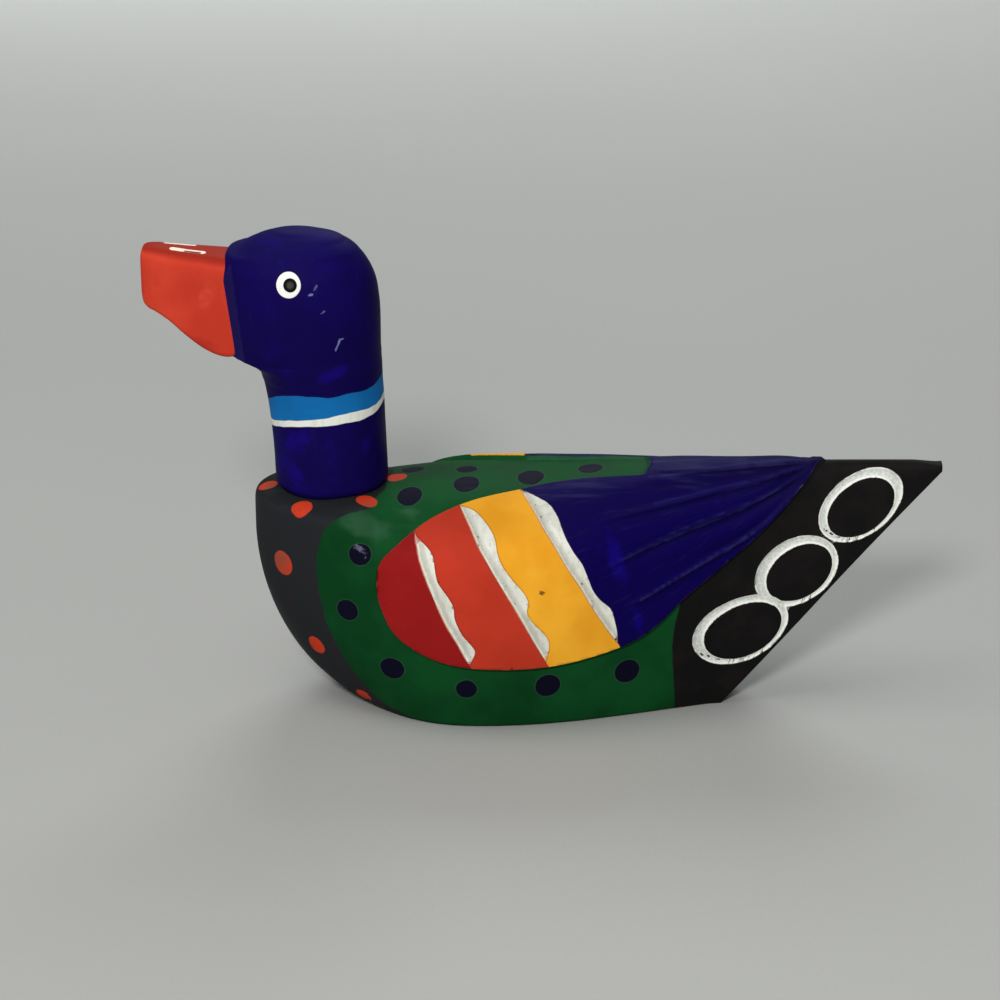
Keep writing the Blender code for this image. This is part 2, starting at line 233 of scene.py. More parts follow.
def nearLine(points, line, closed=False, within=6.0):
    # distance from each point to a polyline, no more than within, and the nearest place on the line
    line = np.asarray(line, float)
    ends = np.vstack([line, line[:1]]) if closed else line
    low, high = ends.min(axis=0) - within, ends.max(axis=0) + within
    close = np.nonzero(np.all((points > low) & (points < high), axis=1))[0]
    distance = np.full(len(points), within)
    place = points.copy()
    if len(close) == 0:
        return distance, place
    p = points[close][:, None]
    a, run = ends[:-1][None], (ends[1:] - ends[:-1])[None]
    t = np.clip(((p - a) * run).sum(2) / np.maximum((run ** 2).sum(2), 1e-12), 0, 1)
    foot = a + run * t[..., None]
    gap = np.sqrt(((p - foot) ** 2).sum(2))
    k = gap.argmin(axis=1)
    rows = np.arange(len(close))
    distance[close] = np.minimum(gap[rows, k], within)
    place[close] = foot[rows, k]
    return distance, place


def inside(points, outline):
    # even-odd rule: a point is inside if a line to its right crosses the outline an odd number of times
    outline = np.asarray(outline, float)
    a, b = outline, np.roll(outline, -1, axis=0)
    x, y = points[:, 0][:, None], points[:, 1][:, None]
    spans = (a[:, 1] > y) != (b[:, 1] > y)
    rise = np.where(b[:, 1] == a[:, 1], 1e-9, b[:, 1] - a[:, 1])
    across = a[:, 0] + (y - a[:, 1]) * (b[:, 0] - a[:, 0]) / rise
    return (spans & (x < across)).sum(axis=1) % 2 == 1


def depthInside(points, outline, within=6.0):
    # distance to the outline, positive inside it
    distance, place = nearLine(points, outline, True, within)
    return np.where(inside(points, outline), distance, -distance), place


def smooth(value, low, high):
    t = np.clip((value - low) / (high - low), 0, 1)
    return t * t * (3 - 2 * t)


bodyForm = {
    "bowX": -0.0728, "wideX": -0.0183, "tailX": 0.0978, "heelX": 0.0448, "shiftX": 0.00055,
    "tailUnderZ": 0.0619, "halfWidth": 0.0285, "tailHalf": 0.0026, "taperPower": 2.7,
    "deckX": (-0.0728, -0.016, 0.041, 0.0978), "deckZ": (0.0563, 0.0584, 0.0617, 0.0634),
    "tailLift": 0.0006, "bowDome": 0.0029, "crispBow": (0.040, 0.058),
    "baseInset": 0.0045, "insetHeight": 0.029, "deckLean": 0.0020, "bowBase": 0.0205,
    "bowFullZ": 0.0450, "bowTurn": 0.985, "shoulder": (9.0, 2.3), "shoulderBow": (70.0, 4.5),
    "noseStep": 0.0009, "flankStep": 0.00052, "wingStartX": -0.0430,
    "deckColumns": 50, "sideColumns": 90, "edgeRun": 0.00035, "baseRun": 0.00035,
    "baseShares": (0.975, 0.9, 0.7, 0.35, 0.0), "wobble": 0.07,
}

# outlines in mm on the unrolled skin: x along the duck, girth down the side from the middle of the back
wingLook = {
    "outline": ((-39.0, 30.2), (-37.2, 28.4), (-34.7, 26.6), (-30.8, 23.8), (-27.0, 21.3), (-20.3, 17.7),
                (-14.0, 15.0), (-5.9, 12.4), (0.4, 10.0), (9.1, 8.0), (17.0, 7.2), (24.0, 6.3),
                (25.3, 4.4), (26.0, 2.4),
                (28.2, -1.2), (45.0, -1.2), (60.0, -1.2), (68.0, -1.2), (68.1, 0.6), (66.8, 1.8),
                (64.2, 5.9),
                (59.1, 12.1), (51.7, 20.0), (44.2, 27.1), (36.6, 34.6), (33.7, 37.6), (29.3, 43.1),
                (24.3, 48.0), (18.2, 52.0), (10.2, 55.8), (2.8, 58.3), (-4.5, 59.6), (-12.4, 59.9),
                (-19.2, 59.1), (-25.7, 56.8), (-31.6, 52.8), (-36.1, 47.6), (-38.6, 41.5), (-39.6, 37.3),
                (-39.7, 33.2)),
    "cuts": (((-30.8, 23.8), (-29.4, 30.7), (-27.8, 35.4), (-25.7, 41.0), (-23.1, 47.2), (-20.2, 52.6),
              (-17.4, 58.6)),
             ((-20.3, 17.7), (-18.6, 21.4), (-16.9, 25.1), (-15.4, 28.4), (-12.9, 32.6), (-10.0, 37.5),
              (-7.0, 42.4), (-4.4, 47.1), (-1.5, 52.5), (0.9, 57.0)),
             ((-5.7, 12.4), (-2.8, 18.3), (0.1, 23.6), (3.1, 27.9), (6.0, 32.4), (9.1, 36.7), (12.0, 41.6),
              (15.1, 46.1), (18.1, 50.2))),
    "waves": (((-30.8, 23.8), (-30.3, 25.4), (-27.9, 27.8), (-26.2, 30.2), (-25.6, 33.6), (-24.9, 36.6),
               (-22.7, 40.0), (-21.2, 42.9), (-20.8, 46.2), (-19.2, 50.0), (-17.2, 52.7), (-16.0, 54.6),
               (-16.3, 56.1), (-17.4, 58.6)),
              ((-20.3, 17.7), (-16.7, 19.6), (-13.6, 23.1), (-11.5, 26.6), (-10.7, 30.2), (-9.5, 33.0),
               (-7.0, 36.4), (-4.4, 39.3), (-3.3, 41.7), (-3.6, 44.4), (-2.0, 47.1), (0.3, 49.3),
               (1.6, 51.4),
               (1.6, 53.9), (0.9, 57.0)),
              ((-5.7, 12.4), (-1.6, 15.1), (1.6, 17.6), (3.6, 20.8), (4.5, 23.2), (5.7, 25.8), (7.5, 28.6),
               (9.5, 31.1), (11.0, 34.5), (12.2, 37.4), (14.0, 39.6), (16.5, 41.6), (17.4, 44.3),
               (18.1, 47.5),
               (18.2, 50.2))),
    "proud": 1.40, "wallRun": 0.80, "cutDepth": 1.00, "cutRim": 0.10, "groundDip": 0.22, "groundReach": 2.0,
    "wedgeLift": 0.75,
    "lapDepth": 0.55,
    "laps": (((19.5, 40.5), (23.6, 38.4), (31.0, 33.0), (39.2, 26.8), (46.0, 22.4), (51.7, 18.4),
              (58.0, 12.6), (64.0, 6.2)),
             ((14.0, 32.0), (19.2, 28.8), (29.0, 22.6), (39.0, 16.9), (48.9, 12.4), (58.0, 7.6),
              (65.0, 3.0)),
             ((14.0, 20.0), (21.9, 16.9), (31.9, 13.1), (44.0, 8.7), (54.0, 5.7), (64.5, 2.2)),
             ((26.0, 5.0), (37.9, 4.4), (47.8, 2.8), (57.5, 1.6), (64.7, 0.9))),
    # long grooves and ridges of the folded feathers: line, depth, half breadth
    "flutes": ((((14.0, 30.5), (23.4, 26.1), (34.0, 20.8), (44.8, 15.8), (52.6, 11.4), (60.2, 5.9),
                 (66.0, 1.9)),
                0.55, 1.5),
               (((32.0, 28.5), (41.5, 23.4), (47.8, 19.9), (54.5, 15.7), (58.4, 12.0), (62.3, 7.6),
                 (66.0, 3.0)),
                0.50, 1.3),
               (((20.0, 12.2), (30.0, 9.3), (42.0, 6.4), (54.0, 3.6), (63.0, 1.8)), 0.28, 1.2),
               (((25.5, 0.0), (40.0, 0.0), (55.0, 0.0), (67.0, 0.0)), 0.30, 0.9),
               (((20.0, 41.0), (24.7, 38.0), (33.1, 32.2), (43.0, 25.7), (50.8, 20.8), (56.0, 16.0),
                 (64.0, 6.0)),
                -0.30, 1.3),
               (((14.0, 22.5), (23.4, 20.0), (33.1, 16.8), (43.6, 11.7), (52.3, 8.6), (60.2, 4.6),
                 (66.0, 1.6)),
                -0.24, 1.2)),
}
tailRings = {  # outer then inner rim: centre x, girth, half axes, tilt
    "rims": (((49.2, 45.3, 13.0, 8.6, 31.0), (49.8, 45.5, 10.5, 6.9, 32.0)),
             ((62.8, 29.4, 11.2, 8.6, 35.0), (63.5, 29.8, 8.95, 6.6, 39.0)),
             ((78.1, 12.1, 11.8, 8.0, 41.0), (78.2, 12.8, 9.3, 6.4, 41.5))),
    "depth": 0.85, "edgeBand": 0.25,
}
wornMarks = {  # x, girth, half length, half breadth, tilt
    "bright": ((17.8, 29.0, 5.4, 2.2, 74.0), (22.9, 43.6, 3.6, 1.6, 76.0)),
    "rubbed": ((-43.0, 21.5, 7.0, 4.2, 10.0), (-33.0, 17.5, 4.0, 2.0, 30.0)),
    "scuff": ((-44.3, 28.0, 1.9, 0.9, 10.0), (-43.2, 29.3, 0.8, 0.4, 60.0)),
    "flecks": ((39.9, 52.9, 0.7, 0.32, 30.0), (41.6, 53.4, 0.5, 0.28, 20.0), (44.0, 54.0, 0.8, 0.30, 10.0),
               (47.4, 54.1, 1.0, 0.24, 0.0), (50.3, 53.6, 0.5, 0.24, -20.0), (69.8, 18.9, 0.55, 0.30, 40.0),
               (71.2, 19.8, 0.7, 0.30, 40.0), (73.2, 20.7, 0.8, 0.26, 20.0), (75.8, 21.2, 0.6, 0.24, 0.0),
               (86.2, 12.2, 0.6, 0.26, 80.0), (74.3, 4.9, 0.5, 0.16, -10.0), (76.2, 5.0, 0.35, 0.14, 0.0)),
    "speck": ((-0.3, 20.7, 0.5, 0.25, 60.0), (-15.4, 26.2, 0.5, 0.3, 50.0), (-6.4, 42.2, 0.5, 0.3, 50.0),
              (9.6, 35.9, 0.45, 0.3, 60.0), (0.0, 39.0, 0.9, 0.6, 20.0), (-24.9, 45.0, 0.4, 0.25, 60.0)),
    # pale lines where the folded feathers meet: line, half breadth
    "lines": ((((25.9, 7.2), (37.9, 4.6), (47.8, 3.0), (57.5, 1.8), (64.7, 1.2)), 0.42),
              (((25.9, 0.2), (32.0, 0.5), (38.2, 0.8), (50.0, 0.5)), 0.30),
              (((19.2, 28.8), (28.0, 23.6), (39.0, 17.6), (48.9, 12.8), (58.0, 7.4)), 0.30),
              (((23.6, 38.4), (31.0, 32.6), (39.2, 27.0), (46.0, 22.4), (51.7, 18.4)), 0.30),
              (((-5.0, 11.4), (2.1, 9.1), (9.1, 7.5), (17.0, 6.7), (24.3, 5.6)), 0.35)),
}
paintLines = {
    "chest": ((-39.5, -2.0), (-39.3, 2.7), (-39.3, 6.9), (-40.8, 10.4), (-41.6, 14.6), (-44.8, 17.8),
              (-48.0, 19.5),
              (-51.2, 21.9), (-53.6, 24.3), (-54.9, 27.6), (-55.4, 32.5), (-55.1, 37.0), (-54.0, 45.3),
              (-52.4, 51.0), (-50.2, 57.1), (-47.5, 62.0), (-44.6, 65.7), (-40.9, 69.2), (-37.2, 72.5),
              (-33.2, 75.3), (-29.0, 78.6), (-24.0, 95.0)),
    "tail": ((36.0, 30.0), (33.7, 40.4), (33.0, 43.6), (32.4, 48.0), (32.3, 53.8), (32.8, 61.5),
             (33.3, 69.4),
             (34.5, 90.0)),
    # navy dots: x, girth, diameter; the flank ones stand on both sides
    "flankDots": ((-44.3, 29.3, 5.6), (-48.0, 45.3, 5.6), (-36.7, 59.1, 6.2), (-18.1, 66.3, 5.2),
                  (1.6, 64.8, 6.4), (21.4, 59.3, 6.6)),
    # on the deck, longer across than along: x, girth, diameter, stretch across
    "deckDots": ((-33.3, 10.8, 6.2, 1.45), (-19.6, 6.4, 6.5, 1.4), (-3.6, 3.7, 6.6, 1.35),
                 (11.0, 0.4, 6.2, 1.0)),
    "farDeckDots": ((-33.4, -6.2, 6.0, 1.0), (-19.9, -3.6, 5.4, 1.0)),
    # orange dots: x, y, z, diameter; the breast ones stand on both sides
    "breastSpots": ((-64.4, -14.9, 39.3, 6.3), (-56.4, -16.6, 18.0, 5.2), (-44.7, -17.3, 5.0, 4.6)),
    "deckSpots": ((-69.4, -2.6, 55.2, 5.0), (-59.3, -15.8, 54.5, 5.5), (-43.6, -12.9, 55.4, 5.2),
                  (-37.3, 0.5, 56.8, 5.2), (-59.3, 15.8, 54.5, 5.0)),
}


def deckHeight(x):
    # cubic along the back, with the top of the tail lifted a little
    f = bodyForm
    lift = f["tailLift"] * smooth(x, 0.048, 0.070) * smooth(-x, -0.0978, -0.090)
    return np.polyval(np.polyfit(f["deckX"], f["deckZ"], 3), x) + lift


def keelHeight(x):
    f = bodyForm
    return np.maximum(0.0, (x - f["heelX"]) * f["tailUnderZ"] / (f["tailX"] - f["heelX"]))


def domed(x, y, z):
    # the deck falls to its edge at the breast as the square of y
    f = bodyForm
    low, high = keelHeight(x), deckHeight(x)
    upper = smooth((z - low) / (high - low), 0.5, 0.95)
    return z - f["bowDome"] * smooth(-x, *f["crispBow"]) * (y / f["halfWidth"]) ** 2 * upper


def halfPlan(x):
    # the plan narrows aft as a power of a cosine
    f = bodyForm
    s = np.clip((x - f["wideX"]) / (f["tailX"] - f["wideX"]), 0, 1)
    return f["tailHalf"] + (f["halfWidth"] - f["tailHalf"]) * np.cos(math.pi * s / 2) ** f["taperPower"]


def breastReach(z):
    # how far the breast comes forward of the widest place at height z: a rounded curve, full at bowFullZ
    f = bodyForm
    full = f["wideX"] - f["bowX"]
    t = f["bowTurn"] * np.clip(1 - z / f["bowFullZ"], 0, 1)
    return full - (full - f["bowBase"]) * (1 - np.sqrt(np.maximum(0, 1 - t ** 1.95)))


def halfBreadth(x, z):
    # half breadth at x and z: plan, less the lean of the side, times the crown's power curve and the
    # breast's oval
    f = bodyForm
    low, high = keelHeight(x), deckHeight(x)
    up = np.clip((z - low) / (high - low), 0, 1)
    share = smooth(-x, *f["crispBow"])
    m = f["shoulder"][0] + (f["shoulderBow"][0] - f["shoulder"][0]) * share
    q = f["shoulder"][1] + (f["shoulderBow"][1] - f["shoulder"][1]) * share
    crown = np.maximum(0, 1 - up ** m) ** (1 / q)
    lean = f["baseInset"] * np.clip(1 - z / f["insetHeight"], 0, 1) ** 1.6
    lean = lean + f["deckLean"] * np.clip((z - f["insetHeight"]) / 0.038, 0, 1) ** 2
    plan = halfPlan(x)
    w = np.maximum(plan - lean * np.minimum(1, plan / 0.012), 0.0004)
    ahead = np.clip((f["wideX"] - x) / np.maximum(breastReach(z) * crown, 1e-9), 0, 1)
    return w * crown * np.sqrt(1 - ahead ** 2)


def bodyStations():
    # even steps along the oval of the breast, then even steps along the flank
    f = bodyForm
    full = f["wideX"] - f["bowX"]
    turn = np.linspace(0, math.pi / 2, 4000)
    ovalX, ovalY = f["wideX"] - full * np.cos(turn), f["halfWidth"] * np.sin(turn)
    way = np.concatenate([[0], np.cumsum(np.hypot(np.diff(ovalX), np.diff(ovalY)))])
    atWing = np.interp(f["wingStartX"], ovalX, way)
    nose = np.arange(1, round(atWing / f["noseStep"])) * f["noseStep"]
    side = np.linspace(atWing, way[-1], round((way[-1] - atWing) / f["flankStep"]))
    ahead = np.interp(np.concatenate([nose, side]), way, ovalX)
    ahead = np.concatenate([[f["bowX"] + 0.00003], ahead])
    aft = np.linspace(f["wideX"], f["heelX"], round((f["heelX"] - f["wideX"]) / f["flankStep"]))[1:]
    tail = np.linspace(f["heelX"], f["tailX"], round((f["tailX"] - f["heelX"]) / f["flankStep"]))[1:]
    return np.concatenate([ahead, aft, tail])


def bodySections(stations):
    # at each station the side is followed down from the middle of the back and cut into columns of equal
    # girth, one of them on the deck's edge; then come the columns of the underside
    f = bodyForm
    share = np.linspace(0, 1, 1600) ** 2.2
    rows = []
    for x in stations:
        top, low = float(deckHeight(x)), float(keelHeight(x))
        z = top - (top - low) * share
        y = halfBreadth(np.full_like(z, x), z)
        if x < f["wideX"]:
            live = np.nonzero(y > 1e-7)[0]
            first, last = max(live[0] - 1, 0), min(live[-1] + 1, len(z) - 1)
            z, y = z[first:last + 1], y[first:last + 1]
            if z[-1] > 2e-5:
                y[-1] = 0
        y[0] = 0
        z = domed(x, y, z)
        g = np.concatenate([[0], np.cumsum(np.hypot(np.diff(y), np.diff(z)))])
        turned = np.abs(np.diff(z)) > np.abs(np.diff(y))
        rows.append((g, y, z, g[int(np.argmax(turned))]))
    edge = np.array([r[3] for r in rows])
    soft = np.convolve(np.pad(edge, 6, mode="edge"), np.hanning(13) / np.hanning(13).sum(), mode="valid")
    blendIn = smooth(stations, -0.045, -0.030)
    edge = edge * (1 - blendIn) + soft * blendIn
    girth, points = [], []
    for x, rim, (g, y, z, _) in zip(stations, edge, rows):
        run = min(f["edgeRun"], 0.3 * rim, 0.1 * (g[-1] - rim))
        lift = f["baseRun"] * min(1.0, y[-1] / 0.003)
        s = np.concatenate([np.linspace(0, rim - run, f["deckColumns"]), [rim],
                            np.linspace(rim + run, g[-1] - lift, f["sideColumns"])])
        under = np.array(f["baseShares"])
        ys = np.concatenate([np.interp(s, g, y), y[-1] * under])
        zs = np.concatenate([np.interp(s, g, z), np.full(len(under), z[-1])])
        girth.append(np.concatenate([s, g[-1] + y[-1] * (1 - under)]))
        points.append(np.stack([np.full_like(ys, x), -ys, zs], axis=1))
    ends = np.array([r[0][-1] for r in rows])
    return np.array(points), np.array(girth), edge, ends


def ovalDepth(points, rim):
    # signed distance inside a tilted oval: (k - 1) k / |gradient| with k the oval's own radius
    cx, cg, a, b, tilt = rim
    t = math.radians(tilt)
    u = (points[:, 0] - cx) * math.cos(t) - (points[:, 1] - cg) * math.sin(t)
    v = (points[:, 0] - cx) * math.sin(t) + (points[:, 1] - cg) * math.cos(t)
    k = np.hypot(u / a, v / b)
    slope = np.hypot(u / a ** 2, v / b ** 2)
    return -k * (k - 1) / np.maximum(slope, 1e-6)


def ovalLine(rim, count=96):
    cx, cg, a, b, tilt = rim
    t, s = math.radians(tilt), np.linspace(0, 2 * math.pi, count, endpoint=False)
    u, v = a * np.cos(s), b * np.sin(s)
    return np.stack([cx + u * math.cos(t) + v * math.sin(t), cg - u * math.sin(t) + v * math.cos(t)], axis=1)


def blobs(x, g, marks):
    # signed depth inside the nearest of some tilted ovals
    depth = np.full(len(x), -5.0)
    for cx, cg, a, b, tilt in marks:
        t = math.radians(tilt)
        u = (x - cx) * math.cos(t) + (g - cg) * math.sin(t)
        v = (g - cg) * math.cos(t) - (x - cx) * math.sin(t)
        depth = np.maximum(depth, (1 - np.hypot(u / a, v / b)) * b)
    return depth


def carvedHeight(points, ends):
    # height of the carving over the plain skin, in mm, and the traits that the paint follows.
    # Wing: a level proud of the ground, with a dip around it. Each stop cut falls sharply at its straight
    # side and rises to its waved side. Flutes and rings are rounded grooves.
    w, traits = wingLook, {}
    x, g = points[:, 0], points[:, 1]
    outline = splined(w["outline"], 4, True)
    wing, _ = depthInside(points, outline, 8.0)
    traits["wing"] = wing
    lobe = np.full(len(points), -8.0)
    proud = w["proud"] * (1 - 0.45 * smooth(x, 56.0, 67.0))
    height = proud * np.clip(1 + wing / w["wallRun"], 0, 1)
    rim = np.exp(-np.abs(wing - 0.15) / 0.35)
    for number, (cut, wave) in enumerate(zip(w["cuts"], w["waves"])):
        straight = np.array(cut)
        lean = (straight[-1] - straight[0]) / (straight[-1, 1] - straight[0, 1])
        long = np.vstack([straight[0] - lean * 4, straight, straight[-1] + lean * 4])
        atX = np.interp(g, long[:, 1], long[:, 0])
        slant = np.interp(g, long[1:, 1], np.diff(long[:, 0]) / np.diff(long[:, 1]))
        traits["cut%d" % number] = np.clip((x - atX) / np.sqrt(1 + slant ** 2), -4, 4)
        waved = splined(wave, 4)
        order = np.argsort(waved[:, 1], kind="stable")
        waveX = np.interp(g, waved[order, 1], waved[order, 0])
        patch, _ = depthInside(points, np.vstack([straight, waved[::-1]]))
        lobe = np.maximum(lobe, patch)
        breadth = np.maximum(waveX - atX, 0.2)
        share = np.clip((x - atX) / breadth, 0, 1)
        sunk = np.minimum(w["cutDepth"], 0.42 * breadth) * (1 - share) ** 1.15
        sunk = np.where(share < 1, np.maximum(sunk, 0.12), sunk)
        past = traits["cut%d" % number]
        height -= np.where(patch > -0.02, sunk, 0.0) * smooth(past, 0.0, 0.42) * (wing > 0)
        ahead = (atX - x) / np.sqrt(1 + slant ** 2)
        within = smooth(g, straight[0, 1] - 0.5, straight[0, 1] + 1.5) * smooth(-g, -straight[-1, 1] - 0.5,
                                                                           -straight[-1, 1] + 1.5)
        lip = np.where(ahead > -0.02, np.exp(-np.abs(ahead) / 0.45), 0) * within * (wing > 0)
        height += w["cutRim"] * lip * 0.6
        rim = np.maximum(rim, lip)
    traits["lobe"] = lobe
    # ground around the wing
    ground = wing < 0
    dip = w["groundDip"] * np.exp(-(wing / w["groundReach"]) ** 2) * smooth(g, 5.0, 12.0)
    height -= np.where(ground, dip * (1 - np.exp(wing / 0.3)), 0)
    # the deck between the wings rises aft to their level
    wedge = smooth(x, -4.0, 24.0) * smooth(-g, -11.0, -6.5) * ground * (x < 40)
    height += w["wedgeLift"] * wedge * (1 - np.clip(1 + wing / w["wallRun"], 0, 1))
    # folded feathers
    groove, ridge = np.zeros(len(points)), np.zeros(len(points))
    for line, depth, breadth in w["flutes"]:
        gap, _ = nearLine(points, splined(line, 3), False, 8.0)
        full = 2.2 if depth > 0 and line[0][1] > 1 else 0.8   # mm inside the wing's edge
        fade = smooth(x, line[0][0] - 1, line[0][0] + 14) * smooth(wing, 0.3, full)
        height -= depth * np.exp(-(gap / breadth) ** 2) * fade
        if depth > 0:
            groove = np.maximum(groove, 0.45 * np.exp(-(gap / 0.8) ** 2) * fade)
    # each folded feather laps over the next one down: a low step below its edge that fades away
    for line in w["laps"]:
        line = splined(line, 4)
        edgeG = np.interp(x, line[:, 0], line[:, 1])
        below = (g - edgeG) * 0.85
        fade = smooth(x, line[0, 0] - 1, line[0, 0] + 9) * smooth(-x, -67.0, -60.0) * smooth(wing, 0.2, 0.9)
        height -= w["lapDepth"] * smooth(below, 0.0, 0.45) * np.exp(-np.maximum(below, 0) / 2.6) * fade
        height += 0.14 * np.exp(-(below / 0.7) ** 2) * fade
        groove = np.maximum(groove, np.exp(-((below - 0.6) / 0.55) ** 2) * fade)
        ridge = np.maximum(ridge, np.exp(-((below + 0.25) / 0.32) ** 2) * fade)
    # masks for the painted shade in the grooves and the painted highlight on the ridges between them
    traits["groove"], traits["ridge"] = groove, ridge * (1 - groove)
    # rings
    ring = np.full(len(points), -8.0)
    for outer, inner in tailRings["rims"]:
        ring = np.maximum(ring, np.minimum(ovalDepth(points, outer), -ovalDepth(points, inner)))
    ring = np.minimum(ring, ends - g - tailRings["edgeBand"])
    ring = np.clip(ring, -8, 8)
    traits["ring"] = ring
    height -= tailRings["depth"] * np.clip(1 - np.exp(-np.maximum(ring, 0) / 0.42), 0, 1)
    traits["rim"] = rim
    return height, traits


def quadsToTriangles(index, height):
    # each cell is split along the diagonal whose ends are nearer in height, so that carved edges stay crisp
    a, b, c, d = index[:-1, :-1], index[:-1, 1:], index[1:, 1:], index[1:, :-1]
    first = np.abs(height[a] - height[c]) <= np.abs(height[b] - height[d])
    one = np.where(first[..., None], np.stack([a, b, c], -1), np.stack([a, b, d], -1))
    two = np.where(first[..., None], np.stack([a, c, d], -1), np.stack([b, c, d], -1))
    return np.concatenate([one.reshape(-1, 3), two.reshape(-1, 3)])


def meshPiece(name, points, faces, traits, merge=2e-6):
    points = points + np.array([bodyForm["shiftX"], 0.0, 0.0])
    mesh = bpy.data.meshes.new(name)
    mesh.vertices.add(len(points))
    mesh.vertices.foreach_set("co", np.ascontiguousarray(points, np.float32).ravel())
    mesh.loops.add(faces.size)
    mesh.loops.foreach_set("vertex_index", np.ascontiguousarray(faces, np.int32).ravel())
    mesh.polygons.add(len(faces))
    mesh.polygons.foreach_set("loop_start", np.arange(len(faces), dtype=np.int32) * 3)
    mesh.update(calc_edges=True)
    for key, values in traits.items():
        layer = mesh.attributes.new(key, "FLOAT", "POINT")
        layer.data.foreach_set("value", np.ascontiguousarray(values, np.float32))
    made = bmesh.new()
    made.from_mesh(mesh)
    bmesh.ops.remove_doubles(made, verts=made.verts, dist=merge)
    bmesh.ops.dissolve_degenerate(made, edges=made.edges, dist=merge)
    bmesh.ops.recalc_face_normals(made, faces=made.faces)
    made.to_mesh(mesh)
    made.free()
    mesh.polygons.foreach_set("use_smooth", np.ones(len(mesh.polygons), bool))
    mesh.update()
    # how far each point faces up, from 1 to -1, for the wear that comes from above and for painted sheen and
    # shade
    facing = np.empty(len(mesh.vertices) * 3, np.float32)
    mesh.vertices.foreach_get("normal", facing)
    layer = mesh.attributes.new("upward", "FLOAT", "POINT")
    layer.data.foreach_set("value", np.ascontiguousarray(facing[2::3]))
    piece = bpy.data.objects.new(name, mesh)
    bpy.context.scene.collection.objects.link(piece)
    print(name, len(mesh.polygons), "triangles")
    return piece


